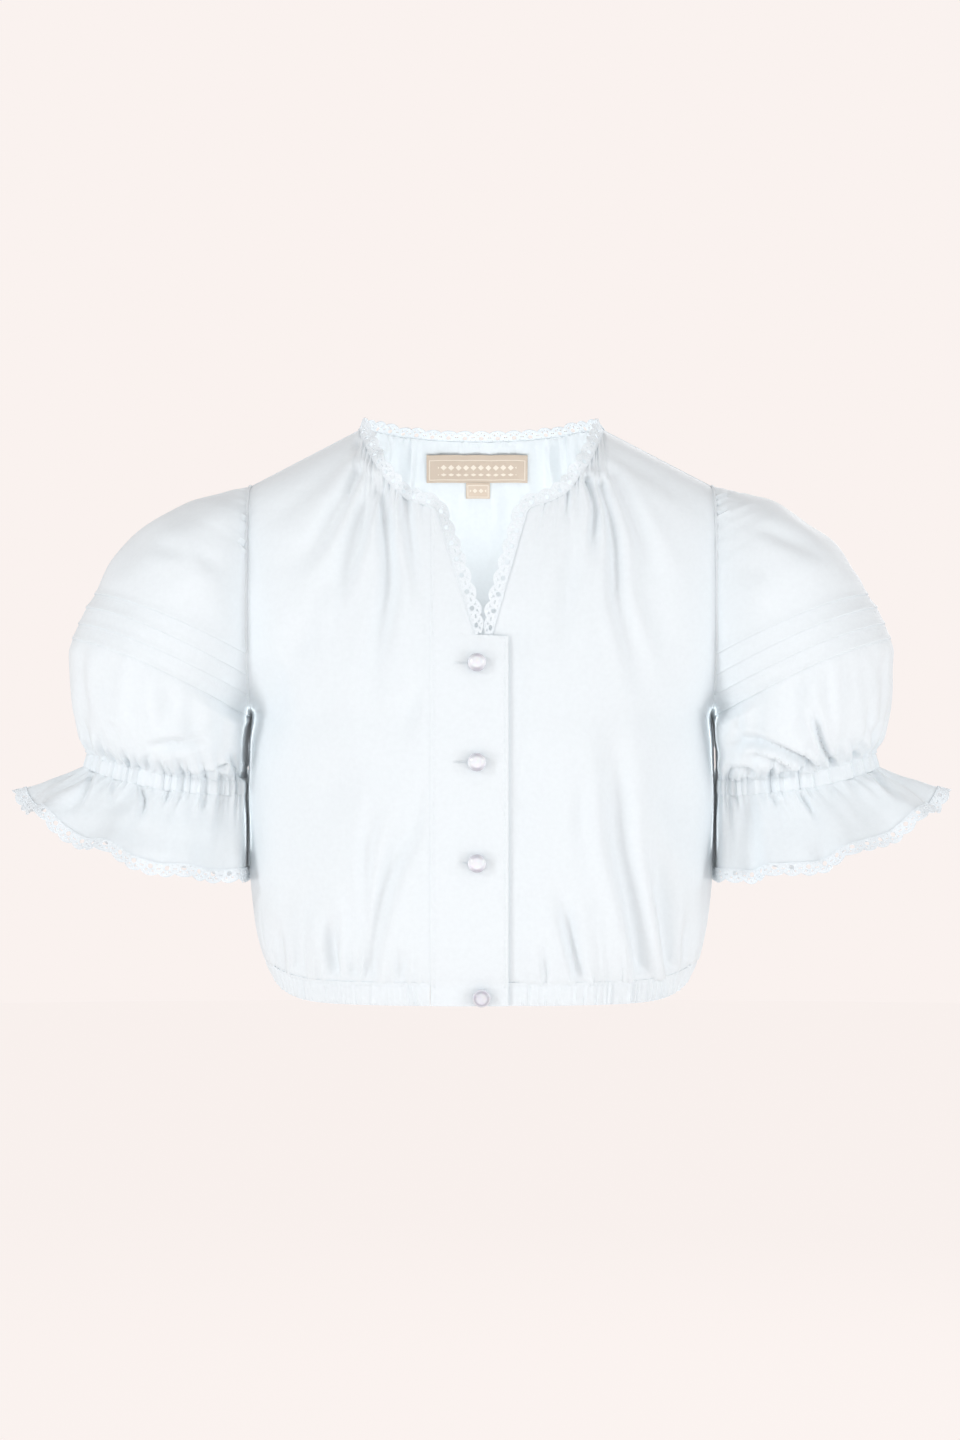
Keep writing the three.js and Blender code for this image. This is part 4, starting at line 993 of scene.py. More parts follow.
class Edge:
    """A line along the cloth that trimmings follow.

    Away leaves the line in the cloth's plane, and out leaves the cloth.
    """

    def __init__(self, line, inner, outward, step=0.8, reach=3):
        lengths = lengths_along(line)
        self.length = lengths[-1]
        self.at = np.linspace(0, self.length, max(12, int(self.length / step)))
        line = self.spread(lengths, line)
        inner = self.spread(lengths, inner)
        self.line = eased(eased(line, reach), reach)
        along = np.gradient(self.line, axis=0)
        along /= np.linalg.norm(along, axis=-1, keepdims=True)
        away = line - inner
        away -= along * np.sum(away * along, axis=-1, keepdims=True)
        away = eased(away / np.linalg.norm(away, axis=-1, keepdims=True), 2 * reach)
        self.away = away / np.linalg.norm(away, axis=-1, keepdims=True)
        out = np.cross(along, self.away)
        self.turned = np.sum(out * outward(self.line)) < 0
        self.out = -out if self.turned else out
        self.out /= np.linalg.norm(self.out, axis=-1, keepdims=True)

    def spread(self, lengths, values):
        return np.stack([np.interp(self.at, lengths, values[:, axis]) for axis in range(3)], axis=-1)

    def read(self, place):
        found = []
        for field in (self.line, self.away, self.out):
            found.append(np.stack([np.interp(place, self.at, field[:, axis]) for axis in range(3)], axis=-1))
        return found


def vertex_places(piece):
    places = np.empty(len(piece.data.vertices) * 3)
    piece.data.vertices.foreach_get("co", places)
    return places.reshape(-1, 3)


def place_vertices(piece, places):
    piece.data.vertices.foreach_set("co", np.ascontiguousarray(places, dtype=float).ravel())
    piece.data.update()


def bend_along(piece, edge, flat_length, lift=0.0, shift=0.0, width_at=None):
    """Lays a flat strip, made along X in millimetres, along an edge, with Z out of the cloth."""
    flat = vertex_places(piece)
    place = flat[:, 0] * edge.length / flat_length
    line, away, out = edge.read(place)
    wide = 1 if width_at is None else width_at(place)[:, None]
    placed = line + away * (wide * flat[:, 1:2] + shift) + out * (flat[:, 2:3] + lift)
    place_vertices(piece, placed * MM)
    if edge.turned:
        flip_faces(piece)


def repeated(piece, count, pitch, merged=False):
    copies = piece.modifiers.new("Repeat", "ARRAY")
    copies.count = count
    copies.use_relative_offset = False
    copies.use_constant_offset = True
    copies.constant_offset_displace = (pitch, 0, 0)
    copies.use_merge_vertices = merged
    copies.merge_threshold = 0.01
    apply_modifiers(piece)


def bead(place, radii, turn=0.0, segments=5, rings=3):
    """A short length of thread, in millimetres, turned about the way out of the cloth."""
    deselect_all()
    bpy.ops.mesh.primitive_uv_sphere_add(segments=segments, ring_count=rings, radius=1)
    piece = bpy.context.object
    flat = vertex_places(piece) * radii
    cosine, sine = math.cos(turn), math.sin(turn)
    x, y, z = flat.T
    turned = np.stack([x * cosine - y * sine, x * sine + y * cosine, z], axis=-1)
    place_vertices(piece, turned + place)
    return piece


def ring(place, radius, thread, segments=11):
    deselect_all()
    bpy.ops.mesh.primitive_torus_add(
        major_radius=radius, minor_radius=thread, major_segments=segments, minor_segments=4
    )
    piece = bpy.context.object
    place_vertices(piece, vertex_places(piece) * (1, 1, 0.8) + place)
    return piece


def scallop(share, repeat_width):
    """Height of the lace's free edge over one motif."""
    return repeat_width * (0.76 + 0.24 * np.abs(np.sin(np.pi * share)) ** 0.8)


def lace_ground(repeat, width):
    """One motif of the lace as closely worked ground with its holes cut."""
    deselect_all()
    bpy.ops.mesh.primitive_grid_add(x_subdivisions=10, y_subdivisions=5, size=1)
    ground = bpy.context.object
    flat = vertex_places(ground) + (0.5, 0.5, 0)
    placed = np.stack([flat[:, 0] * repeat, flat[:, 1] * scallop(flat[:, 0], width), flat[:, 2]], axis=-1)
    place_vertices(ground, placed)
    wall = ground.modifiers.new("Thickness", "SOLIDIFY")
    wall.thickness = 0.5
    wall.offset = 0
    apply_modifiers(ground)
    cutters = []
    for across, up, radius in LACE_HOLES:
        deselect_all()
        bpy.ops.mesh.primitive_cylinder_add(vertices=12, radius=radius, depth=4)
        cutter = bpy.context.object
        place_vertices(cutter, vertex_places(cutter) + (across * repeat, up * width, 0))
        cutters.append(cutter)
    cutter = join(cutters, "cutter")
    holes = ground.modifiers.new("Holes", "BOOLEAN")
    holes.operation = "DIFFERENCE"
    holes.solver = "EXACT"
    holes.object = cutter
    apply_modifiers(ground)
    bpy.data.objects.remove(cutter, do_unlink=True)
    bpy.context.tool_settings.mesh_select_mode = (False, False, True)
    for polygon in ground.data.polygons:
        at_end = polygon.center[0] < 0.001 or polygon.center[0] > repeat - 0.001
        polygon.select = at_end and abs(polygon.normal[0]) > 0.9
    select_only(ground)
    bpy.ops.object.mode_set(mode="EDIT")
    bpy.ops.mesh.delete(type="FACE")
    bpy.ops.object.mode_set(mode="OBJECT")
    return ground


def lace_threads(repeat, width):
    """The raised threads of one motif: heading, rings round the holes, ribs and picots."""
    pieces = []
    for across, up, radius in LACE_HOLES[:SURROUNDED_HOLES]:
        thread = 0.34 if radius > 1 else 0.25
        pieces.append(ring((across * repeat, up * width, 0.1), radius + 0.2, thread))
    for index in range(LACE_STITCHES):
        at = (index + 0.5) * repeat / LACE_STITCHES
        pieces.append(bead((at, 0.35, 0.12), (0.92, 0.42, 0.42), 0.45))
        pieces.append(bead((at + 0.5, 1.12, 0.12), (0.8, 0.3, 0.34), -0.5))
    for index in range(LACE_PICOTS):
        share = index / LACE_PICOTS
        high = float(scallop(np.array(share), width))
        pieces.append(bead((share * repeat, high, 0.02), (0.66, 0.5, 0.4), 0.9 * math.cos(math.pi * share)))
    for turn in (-62, -31, 0, 31, 62):
        angle = math.radians(90 + turn)
        x = 0.5 * repeat + RIB_RADIUS * math.cos(angle)
        y = 0.36 * width + RIB_RADIUS * math.sin(angle)
        pieces.append(bead((x, y, 0.14), (0.95, 0.24, 0.26), angle))
    for across in (0.12, 0.88, 0.0):
        lean = math.pi / 2 + 0.5 * (0.5 - across)
        pieces.append(bead((across * repeat, 0.62 * width, 0.14), (0.9, 0.26, 0.28), lean))
    return join(pieces, "threads")


def lace_piece(name, edge, nodes, width_at=None):
    """Lace of whole motifs along an edge, sewn a little over the cloth."""
    sizes = bpy.context.scene.blouse_sizes
    repeat, width = sizes.lace_repeat / MM, sizes.lace_width / MM
    count = max(1, round(edge.length / repeat))
    ground = lace_ground(repeat, width)
    repeated(ground, count, repeat, merged=True)
    close_ends(ground)
    threads = lace_threads(repeat, width)
    repeated(threads, count, repeat)
    piece = join([ground, threads], name)
    flat = vertex_places(piece)
    flat[:, 0] = np.clip(flat[:, 0], 0, count * repeat)
    place_vertices(piece, flat)
    bend_along(piece, edge, count * repeat, lift=0.45, shift=-1.0, width_at=width_at)
    smooth_shade(piece, 60)
    finish_piece(piece, nodes, spun_thread("cotton lace"))
    return piece


def seam_roll(edge, wide, high, lift=0.0, shift=0.0, seed=5):
    """A rolled seam along an edge, a little uneven where the needle draws it in."""
    deselect_all()
    bpy.ops.mesh.primitive_grid_add(x_subdivisions=max(12, int(edge.length / 1.3)), y_subdivisions=10, size=1)
    roll = bpy.context.object
    flat = vertex_places(roll) + (0.5, 0.5, 0)
    along = flat[:, 0] * edge.length
    chance = np.random.default_rng(seed)
    drawn = 1 + 0.1 * np.sin(along * 2.1 + chance.uniform(0, 6))
    drawn = drawn + 0.09 * np.sin(along * 0.83 + chance.uniform(0, 6))
    angle = 2 * math.pi * flat[:, 1]
    place_vertices(roll, np.stack([along, wide * np.cos(angle), high * drawn * np.sin(angle)], axis=-1))
    merge_doubles(roll, 0.001)
    close_ends(roll)
    bend_along(roll, edge, edge.length, lift=lift, shift=shift)
    edit_all(roll, bpy.ops.mesh.normals_make_consistent, inside=False)
    return roll


def stitch_run(edge, pitch, length, radius, lift):
    """A row of stitches along an edge, each a short length of thread."""
    count = max(1, round(edge.length / pitch))
    thread = bead((pitch / 2, 0, 0), (length / 2, radius, radius), 0.06)
    repeated(thread, count, pitch)
    bend_along(thread, edge, count * pitch, lift=lift)
    return thread


def sewing(name, pieces, material):
    """Joins stitches or rolled seams into one piece that replaces no node."""
    piece = join(pieces, name)
    smooth_shade(piece, 80)
    cover(piece, material)
    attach(piece, ROOT)


def slit_width(edge, full):
    """The laces on both sides of the slit narrow together towards its lower end."""

    def width_at(place):
        line, _, _ = edge.read(place)
        room = np.abs(line[:, 0] - (SLIT_LEFT_X + SLIT_BAND_X) / 2) - 0.5
        return np.clip(np.where(line[:, 2] < SLIT_TOP, (room + 1.5) / full, 1), 0.42, 1)

    return width_at


def size_setting(name, description, default):
    return bpy.props.FloatProperty(name=name, description=description, default=default, unit="LENGTH")


def colour_setting(name, description, default):
    return bpy.props.FloatVectorProperty(
        name=name, description=description, subtype="COLOR", size=3, default=default
    )


class BlouseSizes(bpy.types.PropertyGroup):
    """Sizes of the blouse's cloth and trimmings."""

    cloth_thickness: size_setting("Cloth thickness", "Thickness of the cotton", 0.0007)
    band_thickness: size_setting("Band thickness", "Thickness of the doubled button band", 0.0014)
    lace_repeat: size_setting("Lace repeat", "Length of one motif of the lace", 0.0114)
    lace_width: size_setting("Lace width", "Width of the lace with its scallops", 0.0095)
    button_diameter: size_setting("Button diameter", "Diameter of the pearl buttons", 0.012)
    stitch_length: size_setting("Stitch length", "Length of one stitch of the seams", 0.0024)


class BlouseColours(bpy.types.PropertyGroup):
    """Colours of the blouse and of the stage round it."""

    cotton: colour_setting("Cotton", "Colour of the cloth", (0.757, 0.816, 0.849))
    lace: colour_setting("Lace", "Colour of the cotton lace", (0.8, 0.862, 0.9))
    pearl: colour_setting("Pearl", "Colour of the buttons", (0.84, 0.87, 0.92))
    # Painted shade and painted reflection: the darker colour painted on the buttons' rims
    pearl_painted_shade: colour_setting("Pearl rim", "Colour of the buttons' rims", (0.5, 0.5, 0.57))
    label: colour_setting("Label", "Ground of the woven labels", (0.597, 0.502, 0.409))
    label_mark: colour_setting("Label thread", "Pattern of the labels", (0.9, 0.84, 0.74))
    backdrop: colour_setting("Backdrop", "Colour of floor and surroundings", (0.956, 0.888, 0.863))


class Recipe:
    """A material in the making: its nodes, its links and its shader."""

    def __init__(self, name, **settings):
        self.material = bpy.data.materials.new(name)
        self.material.use_nodes = True
        self.nodes = self.material.node_tree.nodes
        self.links = self.material.node_tree.links
        self.shader = self.nodes["Principled BSDF"]
        self.settle(self.shader, settings)

    def settle(self, node, settings):
        for name, value in settings.items():
            node.inputs[name.replace("_", " ")].default_value = value

    def add(self, kind, **settings):
        node = self.nodes.new("ShaderNode" + kind)
        self.settle(node, settings)
        return node

    def add_noise(self, place, scale, detail, **settings):
        node = self.add("TexNoise", Scale=scale, Detail=detail, **settings)
        self.links.new(place.outputs["Object"], node.inputs["Vector"])
        return node

    def add_bump(self, height, strength, distance, below=None):
        node = self.add("Bump", Strength=strength, Distance=distance)
        self.links.new(height, node.inputs["Height"])
        if below is not None:
            self.links.new(below.outputs["Normal"], node.inputs["Normal"])
        return node

    def add_ramp(self, source, low, high):
        node = self.add("ValToRGB")
        for element, (position, colour) in zip(node.color_ramp.elements, (low, high)):
            element.position = position
            element.color = (*colour, 1)
        self.links.new(source.outputs["Fac"], node.inputs["Fac"])
        return node

    def add_mix(self, blend="MIX"):
        node = self.nodes.new("ShaderNodeMix")
        node.data_type = "RGBA"
        node.blend_type = blend
        return node

    def add_uv(self):
        node = self.nodes.new("ShaderNodeUVMap")
        node.uv_map = "UVMap"
        return node

    def add_math(self, operation, *values):
        node = self.nodes.new("ShaderNodeMath")
        node.operation = operation
        for index, value in enumerate(values):
            if isinstance(value, (int, float)):
                node.inputs[index].default_value = value
            else:
                self.links.new(value, node.inputs[index])
        return node.outputs[0]

    def paint(self, output):
        self.links.new(output, self.shader.inputs["Base Color"])

    def emboss(self, bump):
        self.links.new(bump.outputs["Normal"], self.shader.inputs["Normal"])


def cotton_material(name, colour, weave=0.00042):
    """Fine plain weave that follows the cloth, with soft slubs and a faint bloom."""
    recipe = Recipe(name, Roughness=0.86, Sheen_Weight=0.3, Sheen_Roughness=0.45, Specular_IOR_Level=0.28)
    uv = recipe.add_uv()
    heights = []
    for axis in ("X", "Y"):
        threads = recipe.add("TexWave", Scale=1 / weave / 3.2, Distortion=1.4, Detail=1, Detail_Scale=0.6)
        threads.bands_direction = axis
        recipe.links.new(uv.outputs["UV"], threads.inputs["Vector"])
        heights.append(threads.outputs["Fac"])
    weaving = recipe.add_math("ADD", *heights)
    place = recipe.add("TexCoord")
    slubs = recipe.add_noise(place, 320, 3)
    crumple = recipe.add_noise(place, 46, 5, Roughness=0.62)
    fine = recipe.add_bump(weaving, 0.25, 0.00012)
    medium = recipe.add_bump(slubs.outputs["Fac"], 0.3, 0.00012, fine)
    recipe.emboss(recipe.add_bump(crumple.outputs["Fac"], 0.35, 0.0009, medium))
    shaded = [0.975 * part for part in colour]
    recipe.paint(recipe.add_ramp(slubs, (0.3, shaded), (0.7, colour)).outputs["Color"])
    return recipe.material


def thread_material(name, colour):
    """Soft spun thread: matt, with fine fibres."""
    recipe = Recipe(name, Roughness=0.8, Sheen_Weight=0.15, Specular_IOR_Level=0.3)
    fibres = recipe.add_noise(recipe.add("TexCoord"), 1900, 3)
    recipe.emboss(recipe.add_bump(fibres.outputs["Fac"], 0.5, 0.00018))
    shaded = [0.9 * part for part in colour]
    recipe.paint(recipe.add_ramp(fibres, (0.32, shaded), (0.62, colour)).outputs["Color"])
    return recipe.material


def pearl_material(name, colour, rim):
    """Pearl: a milky body, greyer lilac bands of painted shade and painted reflection above and below its
    middle, and a soft gloss.
    """
    recipe = Recipe(name, Roughness=0.26, Coat_Weight=0.9, Coat_Roughness=0.14, Specular_IOR_Level=0.55)
    clouds = recipe.add_noise(recipe.add("TexCoord"), 420, 3)
    painted_shade_bands = recipe.nodes.new("ShaderNodeAttribute")
    painted_shade_bands.attribute_name = "painted_shade_bands"
    # Painted shade: the band attribute mixes the milky body colour towards the darker rim colour, as painted
    # shade and painted reflection
    shade = recipe.add_ramp(painted_shade_bands, (0.1, colour), (0.9, rim))
    cloudy = recipe.add_mix("MULTIPLY")
    cloudy.inputs["Factor"].default_value = 0.15
    recipe.links.new(shade.outputs["Color"], cloudy.inputs["A"])
    recipe.links.new(clouds.outputs["Color"], cloudy.inputs["B"])
    recipe.paint(cloudy.outputs["Result"])
    return recipe.material


def label_material(name, ground, mark, size, pitch, rows):
    """Woven label: ribbed ground, a thin border, and rows of small lozenges in lighter thread."""
    recipe = Recipe(name, Roughness=0.62, Sheen_Weight=0.25)
    calculate = recipe.add_math
    uv = recipe.add_uv()
    parts = recipe.nodes.new("ShaderNodeSeparateXYZ")
    recipe.links.new(uv.outputs["UV"], parts.inputs["Vector"])
    x, y = parts.outputs["X"], parts.outputs["Y"]
    wide, high = size
    large = high > 0.015
    across = calculate("ABSOLUTE", calculate("SUBTRACT", x, wide / 2))
    up = calculate("ABSOLUTE", calculate("SUBTRACT", y, high / 2))
    to_side = calculate("SUBTRACT", wide / 2, across)
    to_end = calculate("SUBTRACT", high / 2, up)
    to_edge = calculate("MINIMUM", to_side, to_end)
    border = calculate("COMPARE", to_edge, 0.0021 if large else 0.0012, 0.00028)
    inside = calculate("LESS_THAN", across, wide / 2 - (0.008 if large else 0.0025))
    drawn = border
    for place, half in rows:
        cell = calculate("PINGPONG", calculate("ADD", x, pitch / 2 - wide / 2), pitch / 2)
        beside = calculate("DIVIDE", cell, pitch * 0.42)
        over = calculate("DIVIDE", calculate("ABSOLUTE", calculate("SUBTRACT", y, place)), half)
        lozenge = calculate("LESS_THAN", calculate("ADD", beside, over), 1.0)
        drawn = calculate("MAXIMUM", drawn, calculate("MULTIPLY", lozenge, inside))
    ribs = recipe.add("TexWave", Scale=700, Distortion=0.8)
    ribs.bands_direction = "Y"
    recipe.links.new(uv.outputs["UV"], ribs.inputs["Vector"])
    tone = recipe.add_mix()
    tone.inputs["A"].default_value = (*ground, 1)
    tone.inputs["B"].default_value = (*mark, 1)
    recipe.links.new(calculate("MULTIPLY", drawn, 0.8), tone.inputs["Factor"])
    woven = recipe.add_mix("MULTIPLY")
    woven.inputs["Factor"].default_value = 0.12
    recipe.links.new(tone.outputs["Result"], woven.inputs["A"])
    recipe.links.new(ribs.outputs["Color"], woven.inputs["B"])
    recipe.paint(woven.outputs["Result"])
    height = calculate("ADD", calculate("MULTIPLY", ribs.outputs["Fac"], 0.4), drawn)
    recipe.emboss(recipe.add_bump(height, 0.6, 0.0002))
    return recipe.material


def shared_material(name, make):
    return bpy.data.materials.get(name) or make()


def cotton():
    colours = bpy.context.scene.blouse_colours
    return shared_material("white cotton", lambda: cotton_material("white cotton", tuple(colours.cotton)))


def spun_thread(name):
    colour = tuple(bpy.context.scene.blouse_colours.lace)
    return shared_material(name, lambda: thread_material(name, colour))


def pearl():
    colours = bpy.context.scene.blouse_colours
    # rim is the painted shade colour of the buttons' bands
    body, rim = tuple(colours.pearl), tuple(colours.pearl_painted_shade)
    return shared_material("milky pearl", lambda: pearl_material("milky pearl", body, rim))


def cover(piece, material):
    piece.data.materials.clear()
    piece.data.materials.append(material)


def finish_piece(piece, nodes, material):
    cover(piece, material)
    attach(piece, ROOT)
    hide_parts(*nodes)


def hem_lengths():
    """The hem casing's three lengths, each with its flat size and its outward direction."""
    quarter = math.pi / 2
    right_x = BAND_LEFT - SEAM_GAP
    right = casing_points(-1, -quarter, angle_at(right_x), 150, right_x, False, 51)
    left = casing_points(-1, angle_at(UNDERLAP_X), quarter, 190, None, True, 54)
    back = casing_points(1, -quarter, quarter, 300, None, False, 57)
    return [
        ("right", right, (0.165, 0.018), TO_FRONT),
        ("left", left, (0.24, 0.018), TO_FRONT),
        ("back", back, (0.46, 0.018), TO_BACK),
    ]


class BLOUSE_OT_fronts(bpy.types.Operator):
    """Make the two fronts, gathered into the neckline"""

    bl_idname = "blouse.fronts"
    bl_label = "Fronts"

    def execute(self, context):
        sizes = context.scene.blouse_sizes
        for hand, side in SIDES:
            points, _ = front_points(hand)
            piece = cloth_piece(f"cloth_front_{side}", points, from_axis, sizes.cloth_thickness / MM)
            finish_piece(piece, [f"front_{side}"], cotton())
        return {"FINISHED"}


class BLOUSE_OT_back(bpy.types.Operator):
    """Make the back, gathered into the neckline"""

    bl_idname = "blouse.back"
    bl_label = "Back"

    def execute(self, context):
        sizes = context.scene.blouse_sizes
        points, _ = back_points()
        piece = cloth_piece("cloth_back", points, from_axis, sizes.cloth_thickness / MM)
        finish_piece(piece, ["back"], cotton())
        return {"FINISHED"}


class BLOUSE_OT_band(bpy.types.Operator):
    """Make the button band"""

    bl_idname = "blouse.band"
    bl_label = "Button band"

    def execute(self, context):
        sizes = context.scene.blouse_sizes
        piece = cloth_piece("button_band", band_points(), from_axis, sizes.band_thickness / MM)
        finish_piece(piece, ["placket"], cotton())
        return {"FINISHED"}


class BLOUSE_OT_hem(bpy.types.Operator):
    """Make the elastic hem casing in its three lengths"""

    bl_idname = "blouse.hem"
    bl_label = "Hem casing"

    def execute(self, context):
        sizes = context.scene.blouse_sizes
        for side, points, flat, _ in hem_lengths():
            piece = cloth_piece(f"hem_casing_{side}", points, from_axis, sizes.cloth_thickness / MM)
            finish_piece(piece, [f"waist_casing_{side}"], cotton())
        return {"FINISHED"}


class BLOUSE_OT_sleeves(bpy.types.Operator):
    """Make the two puff sleeves with their tucks and casings"""

    bl_idname = "blouse.sleeves"
    bl_label = "Sleeves"

    def execute(self, context):
        sizes = context.scene.blouse_sizes
        for hand, side in SIDES:
            points = sleeve_points(hand)
            outward = away_from(hand, SLEEVE_MIDDLE)
            piece = cloth_piece(f"cloth_sleeve_{side}", points, outward, sizes.cloth_thickness / MM, True)
            finish_piece(piece, [f"sleeve_{side}"], cotton())
        return {"FINISHED"}


class BLOUSE_OT_flounces(bpy.types.Operator):
    """Make the two flounces below the sleeves"""

    bl_idname = "blouse.flounces"
    bl_label = "Flounces"

    def execute(self, context):
        sizes = context.scene.blouse_sizes
        for hand, side in SIDES:
            points = flounce_points(hand)
            outward = away_from(hand, UNDER_FLOUNCE)
            piece = cloth_piece(f"cloth_flounce_{side}", points, outward, sizes.cloth_thickness / MM, True)
            finish_piece(piece, [f"flounce_{side}"], cotton())
        return {"FINISHED"}


def neck_edge(hand):
    """The edge of one front from the lower end of the slit to the neck point."""
    front, at_neck = front_points(hand)
    if hand > 0:
        rows = front[:, 0, 2] >= SLIT_BOTTOM
        slit, slit_inner = front[rows, 0], front[rows, 5]
        start = 1
    else:
        band = band_points()
        rows = band[:, -1, 2] >= SLIT_BOTTOM + 1
        slit, slit_inner = band[rows, -1], band[rows, -9]
        start = 0
    top, top_inner = front[-1, start:at_neck], front[-5, start:at_neck]
    line = np.vstack([slit, top])
    inner = np.vstack([slit_inner, top_inner])
    edge = Edge(line, inner, straight_out(TO_FRONT), reach=4)
    lean = smooth(edge.at, edge.length - 16, edge.length)[:, None]
    upright = np.array([-hand * 0.62, 0, 0.78])
    edge.away = lerp(edge.away, upright, lean)
    edge.away /= np.linalg.norm(edge.away, axis=-1, keepdims=True)
    edge.line[-1, 1] = -HALF_SIDE_GAP
    return edge


def back_neck_edge():
    back, at_neck = back_points()
    edge = Edge(back[-1, at_neck], back[-5, at_neck], straight_out(TO_BACK), reach=4)
    lean = (1 - smooth(np.minimum(edge.at, edge.length - edge.at), 0, 16))[:, None]
    side = np.where(edge.at < edge.length / 2, 0.62, -0.62)
    upright = np.stack([side, np.zeros_like(side), np.full_like(side, 0.78)], axis=-1)
    edge.away = lerp(edge.away, upright, lean)
    edge.away /= np.linalg.norm(edge.away, axis=-1, keepdims=True)
    return edge


class BLOUSE_OT_lace(bpy.types.Operator):
    """Make the lace round the neck, down the slit and along the flounces"""

    bl_idname = "blouse.lace"
    bl_label = "Lace"

    def execute(self, context):
        lace_width = context.scene.blouse_sizes.lace_width / MM
        for hand, side in SIDES:
            edge = neck_edge(hand)
            narrowing = slit_width(edge, lace_width)
            neck_lace = lace_piece(f"neck_lace_{side}", edge, [f"lace_neck_{side}"], narrowing)
            flounce = flounce_points(hand)
            rim = Edge(flounce[-1], flounce[-4], away_from(hand, CUFF_MIDDLE), reach=1)
            cuff_lace = lace_piece(f"cuff_lace_{side}", rim, [f"lace_cuff_{side}"])
        neck_lace = lace_piece("neck_lace_back", back_neck_edge(), ["lace_neck_back"])
        return {"FINISHED"}


class BLOUSE_OT_buttons(bpy.types.Operator):
    """Make the four pearl shank buttons"""

    bl_idname = "blouse.buttons"
    bl_label = "Buttons"

    def execute(self, context):
        radius = context.scene.blouse_sizes.button_diameter / 2
        for index, (x, z) in enumerate(BUTTON_PLACES):
            seat = body_points(x, z, -1)
            beside = body_points(x + 1, z, -1) - seat
            above = body_points(x, z + 1, -1) - seat
            out = np.cross(beside, above)
            out /= np.linalg.norm(out)
            across = beside / np.linalg.norm(beside)
            upright = np.cross(out, across)
            deselect_all()
            bpy.ops.mesh.primitive_uv_sphere_add(segments=48, ring_count=28, radius=1)
            head = context.object
            flat = vertex_places(head)
            from_middle = np.hypot(flat[:, 0], flat[:, 1])
            upness = np.abs(flat[:, 1]) / np.maximum(from_middle, 1e-6)
            # Painted shade and painted reflection: darker bands towards the rim above and below the middle, a
            # little stronger below than above
            painted_shade_bands = smooth(from_middle, 0.42, 0.78) * (0.12 + 0.88 * upness**2)
            painted_shade_bands = painted_shade_bands * np.where(flat[:, 1] < 0, 1, 0.8)
            # The lowest button is painted greyer all over, with a darker ring, as painted shade
            if index == len(BUTTON_PLACES) - 1:
                painted_shade_bands = 0.35 + 0.65 * np.exp(-(((from_middle - 0.72) / 0.13) ** 2))
            shades = head.data.attributes.new("painted_shade_bands", "FLOAT", "POINT")
            shades.data.foreach_set("value", painted_shade_bands.astype(np.float32))
            low = flat[:, 2] < 0
            flat[:, 2] = np.where(low, 0.36 * flat[:, 2], 0.6 * flat[:, 2]) + 0.52
            flat *= radius / MM
            place_vertices(head, flat)
            deselect_all()
            bpy.ops.mesh.primitive_cylinder_add(vertices=24, radius=2, depth=2.4)
            shank = context.object
            place_vertices(shank, vertex_places(shank) + (0, 0, 1.2))
            piece = join([head, shank], f"pearl_button_{index + 1}")
            flat = vertex_places(piece)
            start = seat + out * (BAND_PROUD + 0.1)
            placed = start + flat[:, :1] * across + flat[:, 1:2] * upright + flat[:, 2:] * out
            place_vertices(piece, placed * MM)
            smooth_shade(piece, 50)
            finish_piece(piece, [f"button_{index + 1}"], pearl())
        return {"FINISHED"}


class BLOUSE_OT_labels(bpy.types.Operator):
    """Make the neck label and the size tab, with a plain woven pattern"""

    bl_idname = "blouse.labels"
    bl_label = "Labels"

    def execute(self, context):
        colours = context.scene.blouse_colours
        ground, mark = tuple(colours.label), tuple(colours.label_mark)
        neck_rows, tab_rows = [(0.0112, 0.0022), (0.0058, 0.0011)], [(0.0056, 0.0017)]
        labels = [
            ("neck_label", NECK_LABEL, 72, 22, 0.0052, neck_rows, 1.0),
            ("size_tab", SIZE_TAB, 24, 16, 0.0042, tab_rows, 1.12),
        ]
        for node, (left, right, low, high), columns, rows, pitch, lozenges, lighter in labels:
            x, z = np.meshgrid(np.linspace(left, right, columns), np.linspace(low, high, rows))
            points = body_points(x, z, 1)
            normal = normals_of(points, np.array(TO_BACK))
            inside = crease_depth(BACK_CREASES, x, z) * 0.12 - 2.9
            if node == "size_tab":
                inside = inside + 0.25 - 0.5 * smooth(low + 3 - z, 0, 3)
            points = points + normal * inside[..., None]
            piece = cloth_piece(f"woven_{node}", points, straight_out(TO_FRONT), LABEL_THICKNESS)
            size = ((right - left) * MM, (high - low) * MM)
            shade = tuple(min(1, part * lighter) for part in ground)
            material = label_material(f"woven {node.replace('_', ' ')}", shade, mark, size, pitch, lozenges)
            finish_piece(piece, [node], material)
        return {"FINISHED"}


